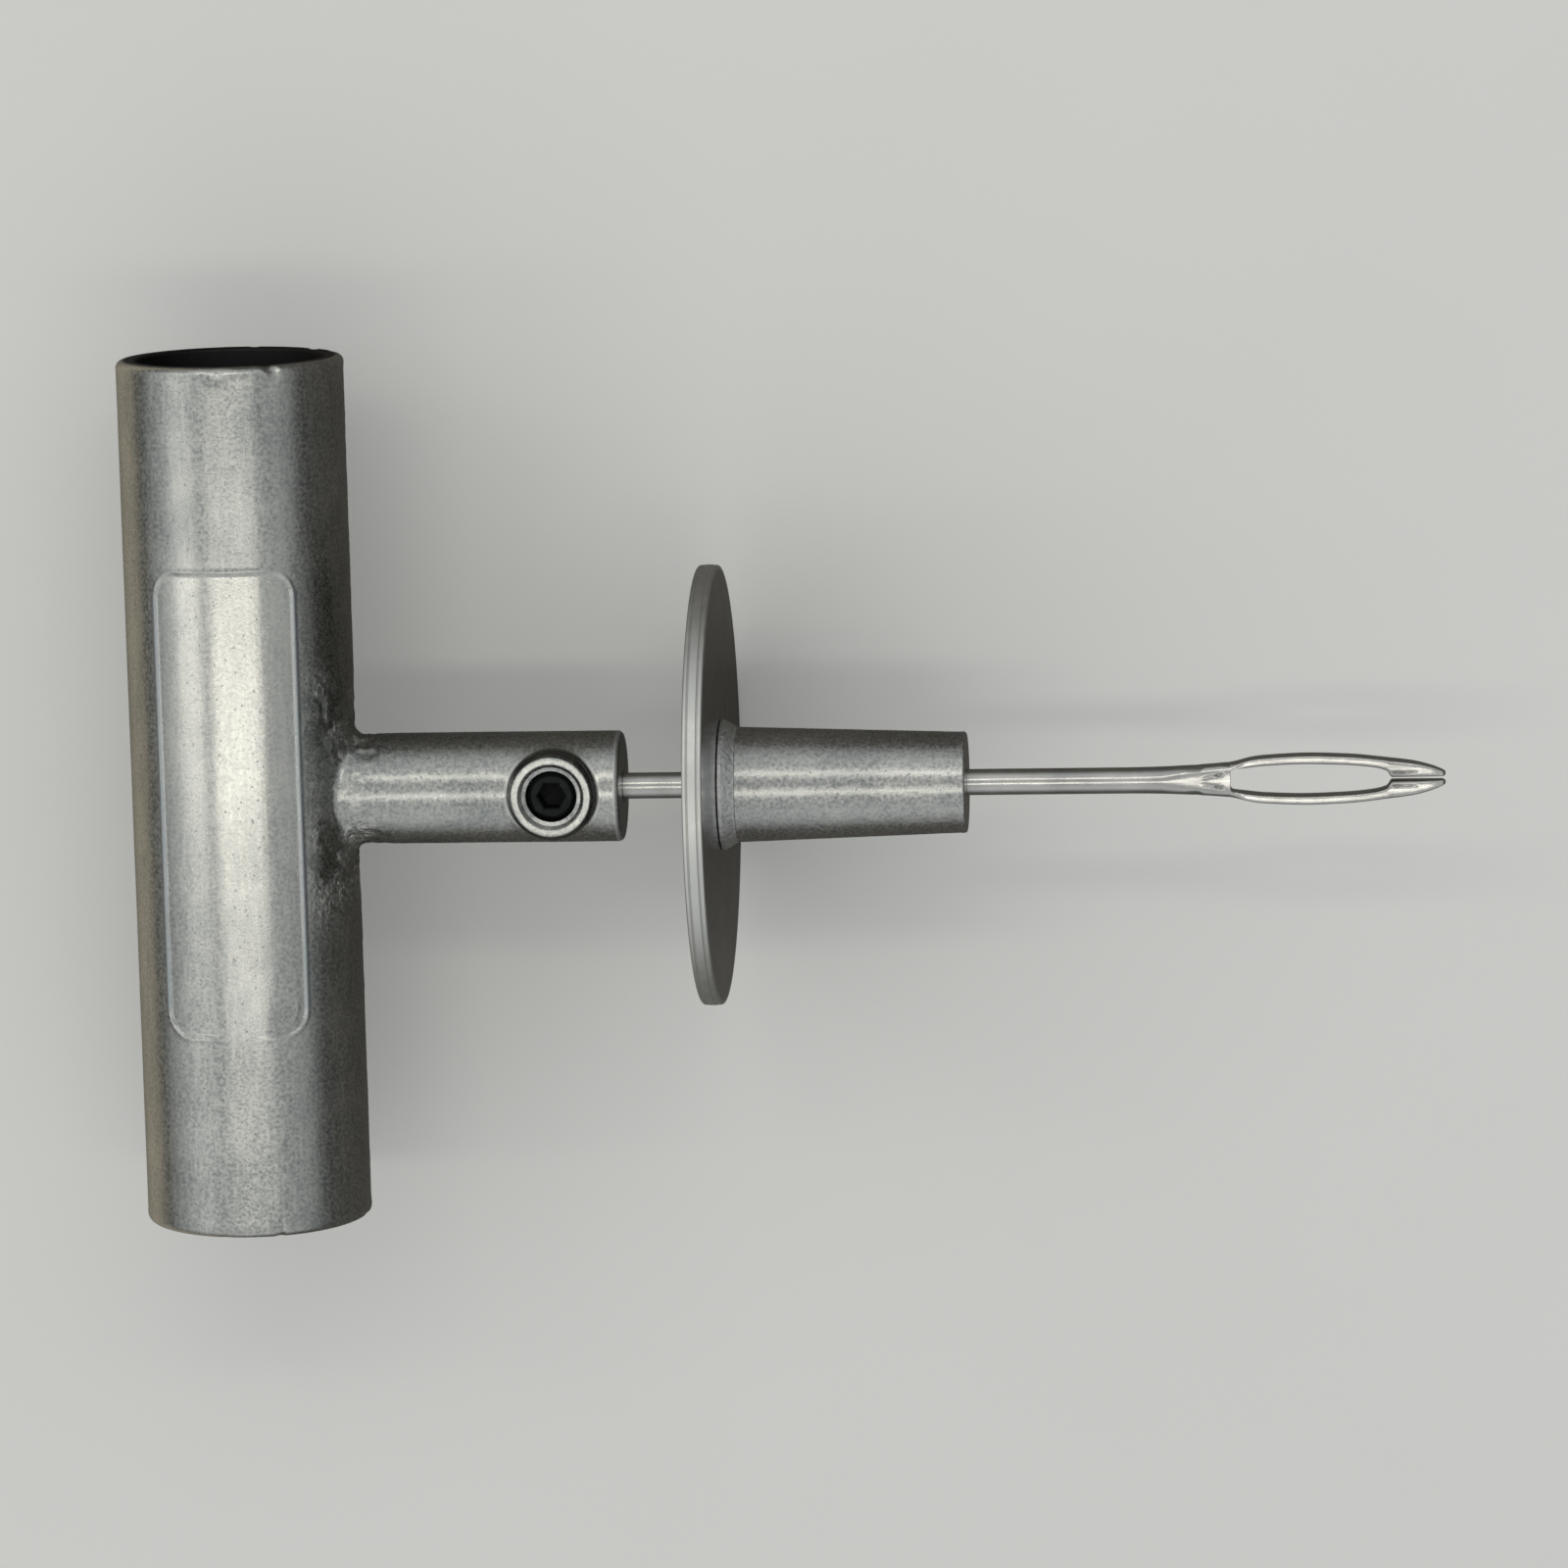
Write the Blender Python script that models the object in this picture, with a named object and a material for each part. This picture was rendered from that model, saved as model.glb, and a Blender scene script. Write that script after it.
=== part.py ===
"""Tyre plug insertion tool: a T-handle casting that clamps a split-eye needle, with a sliding stop.

Frame: +X runs along the needle to its tip, Y runs along the handle, and +Z is the side with the set
screw.  The world's origin is the centre of the tool's box, which lies on the needle's axis.  The
pieces hang from an empty on the handle's axis, and every X below is measured from that axis.  Each
piece's own origin is on the axis that it moves along or turns about.
"""

import math

import bmesh
import bpy
from mathutils import Matrix, Vector

MM = 0.001

# Handle: a tube-like casting with a solid web across its middle.
HANDLE_RADIUS = 14.0 * MM
HANDLE_LENGTH = 107.0 * MM
HANDLE_RIM_ROUND = 0.9 * MM
HOLLOW_MOUTH_RADIUS = 11.5 * MM
HOLLOW_FLOOR_RADIUS = 11.1 * MM
HOLLOW_DEPTH = 42.0 * MM
HOLLOW_MOUTH_ROUND = 0.4 * MM
HOLLOW_FLOOR_ROUND = 2.0 * MM

# Label panel: a blank shallow recess on the handle's crown.
PANEL_LENGTH = 57.5 * MM
PANEL_HALF_ANGLE = math.radians(38.0)
PANEL_CORNER = 3.5 * MM
PANEL_DEPTH = 0.25 * MM

# Neck: carries the needle's socket and the screw's boss.
NECK_RADIUS = 6.85 * MM
NECK_END_X = 46.9 * MM
NECK_END_ROUND = 0.6 * MM
ROOT_FILLET = 1.3 * MM
NECK_BURIED_X = 6.0 * MM
FILLET_BITE = 0.06 * MM

BOSS_X = 38.8 * MM
BOSS_FOOT_RADIUS = 5.4 * MM
BOSS_TOP_RADIUS = 4.85 * MM
BOSS_SHOULDER_Z = 7.4 * MM
BOSS_TOP_Z = 8.5 * MM
BOSS_TOP_ROUND = 0.35 * MM
BOSS_FILLET = 0.5 * MM
BOSS_BURIED_Z = 2.0 * MM

# Needle: a round steel shaft, forged flat and split at its working end.
NEEDLE_RADIUS = 1.6 * MM
NEEDLE_TAIL_X = 30.0 * MM
NEEDLE_TIP_X = 147.3 * MM
NEEDLE_TAIL_CHAMFER = 0.3 * MM
FLAT_END_X = 43.5 * MM
FLAT_HEIGHT = 1.25 * MM
SLIT_HALF_WIDTH = 0.2 * MM
BOX_CENTRE_X = (NEEDLE_TIP_X - HANDLE_RADIUS) / 2.0
EYE_ROOT_X = 121.2 * MM
EYE_ROOT_ROUND = 0.8 * MM
# Stations along the forged end: distance along X, half width in Y, half thickness in Z.
FORGED_STATIONS = (
    (108.0 * MM, 1.60 * MM, 1.60 * MM),
    (115.0 * MM, 1.72 * MM, 1.58 * MM),
    (121.0 * MM, 2.10 * MM, 1.52 * MM),
    (125.0 * MM, 2.82 * MM, 1.48 * MM),
    (130.7 * MM, 3.08 * MM, 1.45 * MM),
    (135.5 * MM, 2.92 * MM, 1.45 * MM),
    (139.7 * MM, 2.50 * MM, 1.42 * MM),
    (143.3 * MM, 2.05 * MM, 1.32 * MM),
    (145.6 * MM, 1.48 * MM, 1.10 * MM),
    (NEEDLE_TIP_X, 0.80 * MM, 0.80 * MM),
)
# Stations along the eye: distance along X, half width of the opening in Y.
EYE_STATIONS = (
    (EYE_ROOT_X, 1.30 * MM),
    (125.5 * MM, 1.68 * MM),
    (130.0 * MM, 1.85 * MM),
    (135.0 * MM, 1.70 * MM),
    (138.6 * MM, 1.30 * MM),
    (140.2 * MM, 0.70 * MM),
    (140.9 * MM, SLIT_HALF_WIDTH),
)

# Socket and screw hole in the neck.
SOCKET_FLOOR_X = 29.5 * MM
SOCKET_CLEARANCE = 0.06 * MM
SOCKET_MOUTH_CHAMFER = 0.5 * MM
SCREW_RADIUS = 2.95 * MM
SCREW_HOLE_RADIUS = 3.1 * MM
SCREW_LENGTH = 6.0 * MM
SCREW_TIP_GAP = 0.25 * MM
SCREW_CHAMFER = 0.35 * MM
SCREW_CUP_RADIUS = 1.5 * MM
SCREW_CUP_DEPTH = 0.7 * MM
SCREW_TIP_CHAMFER = 0.8 * MM
HEX_ACROSS_FLATS = 3.0 * MM
HEX_DEPTH = 3.0 * MM
HEX_MOUTH_CHAMFER = 0.2 * MM
COUNTERSINK_RADIUS = 4.15 * MM
COUNTERSINK_DEPTH = 0.6 * MM
COUNTERSINK_INNER_RADIUS = 3.45 * MM
SCREW_HOLE_FLOOR_Z = 0.5 * MM

# Stop: a cast sleeve whose spigot is staked through a plated steel disc.
DISC_RADIUS = 27.0 * MM
DISC_LEFT_X = 56.6 * MM
DISC_RIGHT_X = 59.0 * MM
DISC_RIM_ROUND = 0.7 * MM
STOP_CLEARANCE = 0.1 * MM
SPIGOT_RADIUS = 4.6 * MM
STAKE_RADIUS = 5.6 * MM
STAKE_THICKNESS = 0.8 * MM
STAKE_ROUND = 0.3 * MM
SHOULDER_RADIUS = 8.05 * MM
SHOULDER_RIM = 0.5 * MM
SHOULDER_WIDTH = 2.0 * MM
SHOULDER_ROUND = 0.15 * MM
SHOULDER_FILLET = 1.0 * MM
SLEEVE_ROOT_RADIUS = 7.12 * MM
SLEEVE_NOSE_RADIUS = 6.2 * MM
SLEEVE_NOSE_X = 89.1 * MM
SLEEVE_NOSE_ROUND = 0.35 * MM
SLEEVE_BORE_RADIUS = 1.85 * MM
SLEEVE_MOUTH_CHAMFER = 0.35 * MM

# Facets of the round pieces.
CASTING_STEPS = 60
BOSS_STEPS = 40
NEEDLE_STEPS = 24
SCREW_STEPS = 30
SLEEVE_STEPS = 48
DISC_STEPS = 80
ROUND_STEPS = 3
SHARP_ANGLE = math.radians(35.0)
MERGE = 0.001 * MM
FRAME = "handle_frame"

TURN_TO_X = Matrix.Rotation(math.radians(90.0), 4, "Y")
TURN_TO_Y = Matrix.Rotation(math.radians(-90.0), 4, "X")
TURN_TO_Z = Matrix.Identity(4)


# Outlines


def rounded(corners, steps=ROUND_STEPS):
    """A polyline whose corners (u, v, radius) are replaced by arcs; its two ends stay sharp."""
    points = []
    last = len(corners) - 1
    for i, (u, v, radius) in enumerate(corners):
        here = Vector((u, v))
        if radius <= 0.0 or i in (0, last):
            points.append(here)
            continue
        back = (Vector(corners[i - 1][:2]) - here).normalized()
        ahead = (Vector(corners[i + 1][:2]) - here).normalized()
        half = back.angle(ahead) / 2.0
        centre = here + (back + ahead).normalized() * (radius / math.sin(half))
        start = (here + back * (radius / math.tan(half)) - centre).normalized()
        end = (here + ahead * (radius / math.tan(half)) - centre).normalized()
        for k in range(steps + 1):
            points.append(centre + radius * start.slerp(end, k / steps))
    return points


def through(stations, x, column):
    """A smooth curve through the stations: cubic pieces whose slopes never overshoot."""
    xs = [s[0] for s in stations]
    ys = [s[column] for s in stations]
    if x <= xs[0]:
        return ys[0]
    if x >= xs[-1]:
        return ys[-1]
    chords = [(ys[i + 1] - ys[i]) / (xs[i + 1] - xs[i]) for i in range(len(xs) - 1)]
    slopes = [0.0]
    for left, right in zip(chords, chords[1:]):
        slopes.append(0.0 if left * right <= 0.0 else 2.0 * left * right / (left + right))
    slopes.append(chords[-1])
    i = max(k for k in range(len(xs) - 1) if xs[k] <= x)
    span = xs[i + 1] - xs[i]
    t = (x - xs[i]) / span
    return (
        ys[i] * (1 + 2 * t) * (1 - t) ** 2
        + slopes[i] * span * t * (1 - t) ** 2
        + ys[i + 1] * t * t * (3 - 2 * t)
        + slopes[i + 1] * span * t * t * (t - 1)
    )


# Meshes


def new_object(name, bm, origin=(0.0, 0.0, 0.0)):
    """Closes a bmesh into an object whose faces point out and whose origin is at `origin`."""
    bmesh.ops.remove_doubles(bm, verts=bm.verts, dist=MERGE)
    bmesh.ops.recalc_face_normals(bm, faces=bm.faces)
    bmesh.ops.translate(bm, verts=bm.verts, vec=-Vector(origin))
    mesh = bpy.data.meshes.new(name)
    bm.to_mesh(mesh)
    bm.free()
    obj = bpy.data.objects.new(name, mesh)
    obj.parent = bpy.data.objects[FRAME]
    obj.location = origin
    bpy.context.scene.collection.objects.link(obj)
    return obj


def turned(name, profile, steps, turn, at=(0.0, 0.0, 0.0), origin=(0.0, 0.0, 0.0), loop=False):
    """Spins a profile of (along, radius) points about an axis through `at`."""
    bm = bmesh.new()
    verts = [bm.verts.new((radius, 0.0, along)) for along, radius in profile]
    pairs = list(zip(verts, verts[1:]))
    if loop:
        pairs.append((verts[-1], verts[0]))
    edges = [bm.edges.new(pair) for pair in pairs]
    bmesh.ops.spin(
        bm,
        geom=verts + edges,
        cent=(0.0, 0.0, 0.0),
        axis=(0.0, 0.0, 1.0),
        angle=2.0 * math.pi,
        steps=steps,
        use_merge=True,
    )
    bmesh.ops.transform(bm, matrix=Matrix.Translation(at) @ turn, verts=bm.verts)
    return new_object(name, bm, origin)


def lofted(name, rings, origin=(0.0, 0.0, 0.0)):
    """Joins rings of points with quads and closes both ends."""
    bm = bmesh.new()
    loops = [[bm.verts.new(p) for p in points] for points in rings]
    count = len(rings[0])
    for a, b in zip(loops, loops[1:]):
        for i in range(count):
            j = (i + 1) % count
            bm.faces.new((a[i], a[j], b[j], b[i]))
    bm.faces.new(loops[0])
    bm.faces.new(loops[-1])
    return new_object(name, bm, origin)


def handle_frame():
    """The empty on the handle's axis that every piece hangs from."""
    frame = bpy.data.objects.new(FRAME, None)
    frame.location = (-BOX_CENTRE_X, 0.0, 0.0)
    bpy.context.scene.collection.objects.link(frame)


def combine(target, tool, operation):
    """Adds or cuts `tool` on `target`; the tool itself stays a hidden guide."""
    tool.hide_render = True
    tool.display_type = "WIRE"
    modifier = target.modifiers.new(f"{operation.lower()}_{tool.name}", "BOOLEAN")
    modifier.operation = operation
    modifier.solver = "EXACT"
    modifier.object = tool


def finish(obj, material):
    """Gives a piece its material and smooth shading with crisp corners."""
    obj.data.materials.append(material)
    obj.data.shade_smooth()
    obj.data.set_sharp_from_angle(angle=SHARP_ANGLE)
    return obj


# Materials


def metal(name, colour, roughness, metallic=1.0):
    material = bpy.data.materials.new(name)
    material.use_nodes = True
    shader = material.node_tree.nodes["Principled BSDF"]
    shader.inputs["Base Color"].default_value = (*colour, 1.0)
    shader.inputs["Roughness"].default_value = roughness
    shader.inputs["Metallic"].default_value = metallic
    return material


def zinc():
    return metal("cast_zinc", (0.46, 0.46, 0.43), 0.42)


def satin_steel():
    return metal("satin_steel", (0.56, 0.55, 0.52), 0.28)


def plated_steel():
    return metal("plated_steel", (0.50, 0.51, 0.50), 0.16)


def black_oxide():
    return metal("black_oxide", (0.012, 0.014, 0.014), 0.45, 0.6)


# Handle casting


def handle_barrel():
    """The grip: a cylinder along Y with a blind hollow in each end."""
    half = HANDLE_LENGTH / 2.0
    floor = half - HOLLOW_DEPTH
    side = [
        (floor, 0.0, 0.0),
        (floor, HOLLOW_FLOOR_RADIUS, HOLLOW_FLOOR_ROUND),
        (half, HOLLOW_MOUTH_RADIUS, HOLLOW_MOUTH_ROUND),
        (half, HANDLE_RADIUS, HANDLE_RIM_ROUND),
    ]
    corners = side + [(-y, radius, rounding) for y, radius, rounding in reversed(side)]
    return turned("handle_casting", rounded(corners), CASTING_STEPS, TURN_TO_Y)


def ring(along, radius, steps):
    """A circle of points (along, across, up) about the first axis."""
    angles = [2.0 * math.pi * i / steps for i in range(steps)]
    return [Vector((along, radius * math.cos(a), radius * math.sin(a))) for a in angles]


def filleted_root(host_radius, branch_radius, ball, buried, steps):
    """Rings that start a round branch on a round host whose axis crosses it at right angles.

    Points are (along the branch, along the host, across both).  A ball rolled round the corner
    leaves the fillet.  It runs on the host a little below its skin, so that the two solids cross.
    """
    host = host_radius - FILLET_BITE
    sunk, fillet = [], [[] for _ in range(ROUND_STEPS + 1)]
    for out in ring(0.0, 1.0, steps):
        centre = out * (branch_radius + ball)
        centre.x = math.sqrt((host + ball) ** 2 - centre.z**2)
        to_host = -Vector((centre.x, 0.0, centre.z)).normalized()
        for k, points in enumerate(fillet):
            points.append(centre + ball * to_host.slerp(-out, k / ROUND_STEPS))
        foot = fillet[0][-1]
        sunk.append(Vector((buried, foot.y, foot.z)))
    return [sunk] + fillet


def neck():
    rings = filleted_root(HANDLE_RADIUS, NECK_RADIUS, ROOT_FILLET, NECK_BURIED_X, CASTING_STEPS)
    side = [
        (NECK_BURIED_X, NECK_RADIUS, 0.0),
        (NECK_END_X, NECK_RADIUS, NECK_END_ROUND),
        (NECK_END_X, 0.0, 0.0),
    ]
    rings += [ring(x, radius, CASTING_STEPS) for x, radius in rounded(side)[1:-1]]
    return lofted("neck", rings)


def screw_boss():
    rings = filleted_root(NECK_RADIUS, BOSS_FOOT_RADIUS, BOSS_FILLET, BOSS_BURIED_Z, BOSS_STEPS)
    side = [
        (BOSS_SHOULDER_Z, BOSS_FOOT_RADIUS, 0.0),
        (BOSS_TOP_Z, BOSS_TOP_RADIUS, BOSS_TOP_ROUND),
        (BOSS_TOP_Z, 0.0, 0.0),
    ]
    rings += [ring(z, radius, BOSS_STEPS) for z, radius in rounded(side)[:-1]]
    upright = [[Vector((BOSS_X + p.y, p.z, p.x)) for p in points] for points in rings]
    return lofted("screw_boss", upright)


def screw_hole():
    """A plain hole down into the needle's socket, with a countersunk lead-in."""
    over = BOSS_TOP_Z + MM
    sink = BOSS_TOP_Z - COUNTERSINK_DEPTH
    lead_in = COUNTERSINK_INNER_RADIUS - SCREW_HOLE_RADIUS
    corners = [
        (SCREW_HOLE_FLOOR_Z, 0.0),
        (SCREW_HOLE_FLOOR_Z, SCREW_HOLE_RADIUS),
        (sink - lead_in, SCREW_HOLE_RADIUS),
        (sink, COUNTERSINK_INNER_RADIUS),
        (BOSS_TOP_Z, COUNTERSINK_RADIUS),
        (over, COUNTERSINK_RADIUS),
        (over, 0.0),
    ]
    return turned("screw_hole", corners, BOSS_STEPS, TURN_TO_Z, at=(BOSS_X, 0.0, 0.0))


def needle_socket():
    radius = NEEDLE_RADIUS + SOCKET_CLEARANCE
    corners = [
        (SOCKET_FLOOR_X, 0.0),
        (SOCKET_FLOOR_X, radius),
        (NECK_END_X - SOCKET_MOUTH_CHAMFER, radius),
        (NECK_END_X, radius + SOCKET_MOUTH_CHAMFER),
        (NECK_END_X + MM, radius + SOCKET_MOUTH_CHAMFER),
        (NECK_END_X + MM, 0.0),
    ]
    return turned("needle_socket", corners, NEEDLE_STEPS, TURN_TO_X)


def label_panel():
    """A curved plate-shaped cutter that follows the grip's crown, with rounded corners."""
    half_arc = PANEL_HALF_ANGLE * HANDLE_RADIUS
    straight = half_arc - PANEL_CORNER
    columns = []
    for k in range(ROUND_STEPS * 2 + 1):
        turn = math.pi / 2.0 * k / (ROUND_STEPS * 2)
        across = straight + PANEL_CORNER * math.cos(turn)
        columns.append((across, PANEL_LENGTH / 2.0 - PANEL_CORNER * (1.0 - math.sin(turn))))
    inner_steps = 10
    for k in range(1, inner_steps):
        columns.append((straight * (1.0 - 2.0 * k / inner_steps), PANEL_LENGTH / 2.0))
    columns += [(-across, half) for across, half in reversed(columns[: ROUND_STEPS * 2 + 1])]
    rings = []
    for across, half in columns:
        angle = across / HANDLE_RADIUS
        out = Vector((math.sin(angle), 0.0, math.cos(angle)))
        low = out * (HANDLE_RADIUS - PANEL_DEPTH)
        high = out * (HANDLE_RADIUS + MM)
        end = Vector((0.0, half, 0.0))
        rings.append([low - end, low + end, high + end, high - end])
    return lofted("label_panel", rings)


def build_handle_casting():
    casting = handle_barrel()
    combine(casting, neck(), "UNION")
    combine(casting, screw_boss(), "UNION")
    combine(casting, screw_hole(), "DIFFERENCE")
    combine(casting, needle_socket(), "DIFFERENCE")
    combine(casting, label_panel(), "DIFFERENCE")
    return finish(casting, zinc())


# Needle


def needle_ring(x, half_width, half_thickness):
    angles = [2.0 * math.pi * i / NEEDLE_STEPS for i in range(NEEDLE_STEPS)]
    return [Vector((x, half_width * math.cos(a), half_thickness * math.sin(a))) for a in angles]


def needle_stock():
    """The unsplit needle: a round shaft that widens and thins towards its pointed end."""
    tail = NEEDLE_RADIUS - NEEDLE_TAIL_CHAMFER
    rings = [
        needle_ring(NEEDLE_TAIL_X, tail, tail),
        needle_ring(NEEDLE_TAIL_X + NEEDLE_TAIL_CHAMFER, NEEDLE_RADIUS, NEEDLE_RADIUS),
    ]
    start = FORGED_STATIONS[0][0]
    step = MM
    count = round((NEEDLE_TIP_X - start) / step)
    for k in range(count + 1):
        x = start + (NEEDLE_TIP_X - start) * k / count
        rings.append(needle_ring(x, through(FORGED_STATIONS, x, 1), through(FORGED_STATIONS, x, 2)))
    return lofted("insertion_needle", rings)


def eye_outline():
    """One side of the eye, from its blunt root to the slit, and on past the tip."""
    end = EYE_STATIONS[-1][0]
    points = []
    for k in range(ROUND_STEPS + 1):
        turn = math.pi / 2.0 * k / ROUND_STEPS
        x = EYE_ROOT_X + EYE_ROOT_ROUND * (1.0 - math.cos(turn))
        inset = EYE_ROOT_ROUND * (1.0 - math.sin(turn))
        points.append((x, through(EYE_STATIONS, x, 1) - inset))
    start = points[-1][0]
    steps = 20
    for k in range(1, steps + 1):
        x = start + (end - start) * k / steps
        points.append((x, through(EYE_STATIONS, x, 1)))
    points.append((NEEDLE_TIP_X + MM, SLIT_HALF_WIDTH))
    return points


def needle_eye():
    side = eye_outline()
    outline = side + [(x, -half) for x, half in reversed(side)]
    through_z = 3.0 * MM
    rings = [[Vector((x, y, z)) for x, y in outline] for z in (-through_z, through_z)]
    return lofted("needle_eye", rings)


def clamp_flat():
    """The flat under the set screw, open towards the needle's tail."""
    xs = (NEEDLE_TAIL_X - MM, FLAT_END_X)
    wide = 3.0 * MM
    rings = []
    for x in xs:
        corners = ((-wide, FLAT_HEIGHT), (wide, FLAT_HEIGHT), (wide, wide), (-wide, wide))
        rings.append([Vector((x, y, z)) for y, z in corners])
    return lofted("clamp_flat", rings)


def build_insertion_needle():
    needle = needle_stock()
    combine(needle, needle_eye(), "DIFFERENCE")
    combine(needle, clamp_flat(), "DIFFERENCE")
    return finish(needle, satin_steel())


# Set screw


def hex_socket(top):
    corner = HEX_ACROSS_FLATS / math.sqrt(3.0)
    rings = []
    heights = (
        (top - HEX_DEPTH, corner),
        (top - HEX_MOUTH_CHAMFER, corner),
        (top, corner + HEX_MOUTH_CHAMFER),
        (top + MM, corner + HEX_MOUTH_CHAMFER),
    )
    for z, radius in heights:
        angles = [math.radians(60.0 * i) for i in range(6)]
        rings.append([Vector((BOSS_X + radius * math.cos(a), radius * math.sin(a), z)) for a in angles])
    return lofted("hex_socket", rings)


def build_set_screw():
    bottom = FLAT_HEIGHT + SCREW_TIP_GAP
    top = bottom + SCREW_LENGTH
    corners = [
        (bottom + SCREW_CUP_DEPTH, 0.0),
        (bottom, SCREW_CUP_RADIUS),
        (bottom, SCREW_RADIUS - SCREW_TIP_CHAMFER),
        (bottom + SCREW_TIP_CHAMFER, SCREW_RADIUS),
        (top - SCREW_CHAMFER, SCREW_RADIUS),
        (top, SCREW_RADIUS - SCREW_CHAMFER),
        (top, 0.0),
    ]
    place = (BOSS_X, 0.0, 0.0)
    screw = turned("set_screw", corners, SCREW_STEPS, TURN_TO_Z, at=place, origin=place)
    combine(screw, hex_socket(top), "DIFFERENCE")
    return finish(screw, black_oxide())


# Stop


def build_stop_sleeve():
    """Sleeve, shoulder and spigot in one turned casting; the stake holds the disc on the spigot."""
    seat = DISC_RIGHT_X + STOP_CLEARANCE
    stake = DISC_LEFT_X - STOP_CLEARANCE
    tail = stake - STAKE_THICKNESS
    corners = [
        (tail, SLEEVE_BORE_RADIUS, 0.0),
        (tail, STAKE_RADIUS, STAKE_ROUND),
        (stake, STAKE_RADIUS, 0.0),
        (stake, SPIGOT_RADIUS, 0.0),
        (seat, SPIGOT_RADIUS, 0.0),
        (seat, SHOULDER_RADIUS, SHOULDER_ROUND),
        (seat + SHOULDER_RIM, SHOULDER_RADIUS, SHOULDER_ROUND),
        (seat + SHOULDER_WIDTH, SLEEVE_ROOT_RADIUS, SHOULDER_FILLET),
        (SLEEVE_NOSE_X, SLEEVE_NOSE_RADIUS, SLEEVE_NOSE_ROUND),
        (SLEEVE_NOSE_X, SLEEVE_BORE_RADIUS + SLEEVE_MOUTH_CHAMFER, 0.0),
        (SLEEVE_NOSE_X - SLEEVE_MOUTH_CHAMFER, SLEEVE_BORE_RADIUS, 0.0),
        (tail, SLEEVE_BORE_RADIUS, 0.0),
    ]
    profile = rounded(corners)[:-1]
    sleeve = turned("stop_sleeve", profile, SLEEVE_STEPS, TURN_TO_X, loop=True)
    return finish(sleeve, zinc())


def build_stop_disc():
    bore = SPIGOT_RADIUS + STOP_CLEARANCE
    corners = [
        (DISC_LEFT_X, bore, 0.0),
        (DISC_LEFT_X, DISC_RADIUS, DISC_RIM_ROUND),
        (DISC_RIGHT_X, DISC_RADIUS, DISC_RIM_ROUND),
        (DISC_RIGHT_X, bore, 0.0),
    ]
    disc = turned("stop_disc", rounded(corners), DISC_STEPS, TURN_TO_X, loop=True)
    return finish(disc, plated_steel())


def main():
    for obj in list(bpy.data.objects):
        bpy.data.objects.remove(obj)
    handle_frame()
    build_handle_casting()
    build_insertion_needle()
    build_set_screw()
    build_stop_sleeve()
    build_stop_disc()


main()
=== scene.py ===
"""Looks of the tyre plug insertion tool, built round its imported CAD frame.

The geometry is written in millimetres in the handle's frame: X runs from the handle's axis to the
needle's tip, Y along the handle, and Z up to the set screw.  new_mesh() puts it in the row frame.
"""

import math

import bmesh
import bpy
from mathutils import Matrix, Vector, noise


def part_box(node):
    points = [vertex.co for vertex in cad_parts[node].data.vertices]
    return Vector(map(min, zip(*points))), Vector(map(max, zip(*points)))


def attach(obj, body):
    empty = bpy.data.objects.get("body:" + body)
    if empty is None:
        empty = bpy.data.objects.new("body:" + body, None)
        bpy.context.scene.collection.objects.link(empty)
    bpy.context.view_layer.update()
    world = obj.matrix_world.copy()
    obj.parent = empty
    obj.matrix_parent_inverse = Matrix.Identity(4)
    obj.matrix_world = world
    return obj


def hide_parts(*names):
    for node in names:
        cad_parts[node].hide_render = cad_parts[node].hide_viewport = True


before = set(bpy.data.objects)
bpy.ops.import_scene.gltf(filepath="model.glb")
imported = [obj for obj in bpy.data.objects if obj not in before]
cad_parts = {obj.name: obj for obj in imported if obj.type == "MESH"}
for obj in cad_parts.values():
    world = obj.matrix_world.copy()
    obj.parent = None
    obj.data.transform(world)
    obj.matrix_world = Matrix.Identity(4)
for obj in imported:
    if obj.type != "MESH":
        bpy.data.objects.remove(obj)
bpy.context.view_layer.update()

MM = 0.001
TURN = 2.0 * math.pi
# How far the largest rounds stay inside the CAD's box, and how close vertices are welded.
SKIN = 0.02
WELD = 0.0005
SHARP_ANGLE = math.radians(38.0)

AXIS_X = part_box("handle_casting")[0].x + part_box("handle_casting")[1].z


def cad_box(node):
    """The low and high corner of a CAD node, in millimetres in the handle's frame."""
    shift = Vector((AXIS_X, 0.0, 0.0))
    return [(corner - shift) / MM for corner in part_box(node)]


CASTING_LOW, CASTING_HIGH = cad_box("handle_casting")
NEEDLE_LOW, NEEDLE_HIGH = cad_box("insertion_needle")
SCREW_LOW, SCREW_HIGH = cad_box("set_screw")
SLEEVE_HIGH = cad_box("stop_sleeve")[1]
DISC_LOW, DISC_HIGH = cad_box("stop_disc")

# Grip of the casting.  A flat end turns into a fan of triangles at its hub's radius.
GRIP_RADIUS = CASTING_HIGH.z - SKIN
GRIP_HALF = CASTING_HIGH.y
RIM_ROUND = 0.9
HOLLOW_MOUTH = 11.5
HOLLOW_FLOOR = 11.1
HOLLOW_DEPTH = 42.0
MOUTH_ROUND = 0.4
FLOOR_ROUND = 2.0
HUB = 1.0
COARSE = 0.9
FINE = 0.2

# Arc lengths from the neck's side to the crown and the parting line.  A ridge is (height, half width).
CROWN_ARC = GRIP_RADIUS * math.pi / 2.0
SEAM_ARC = GRIP_RADIUS * math.pi
SEAM = (0.05, 0.16)
SEAM_MARGIN = 0.6
SEAM_STEP = 0.12

# Blank label panel on the grip's crown, in arc length across it and length along it.
PANEL_HALF_ARC = 9.3
PANEL_HALF = 28.75
PANEL_CORNER = 3.5
PANEL_DEPTH = 0.16
PANEL_SLOPE = 0.5
PANEL_MARGIN = 1.0
BEAD = (0.08, 0.24)
GRIP_SKIN = GRIP_RADIUS - BEAD[0]
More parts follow.
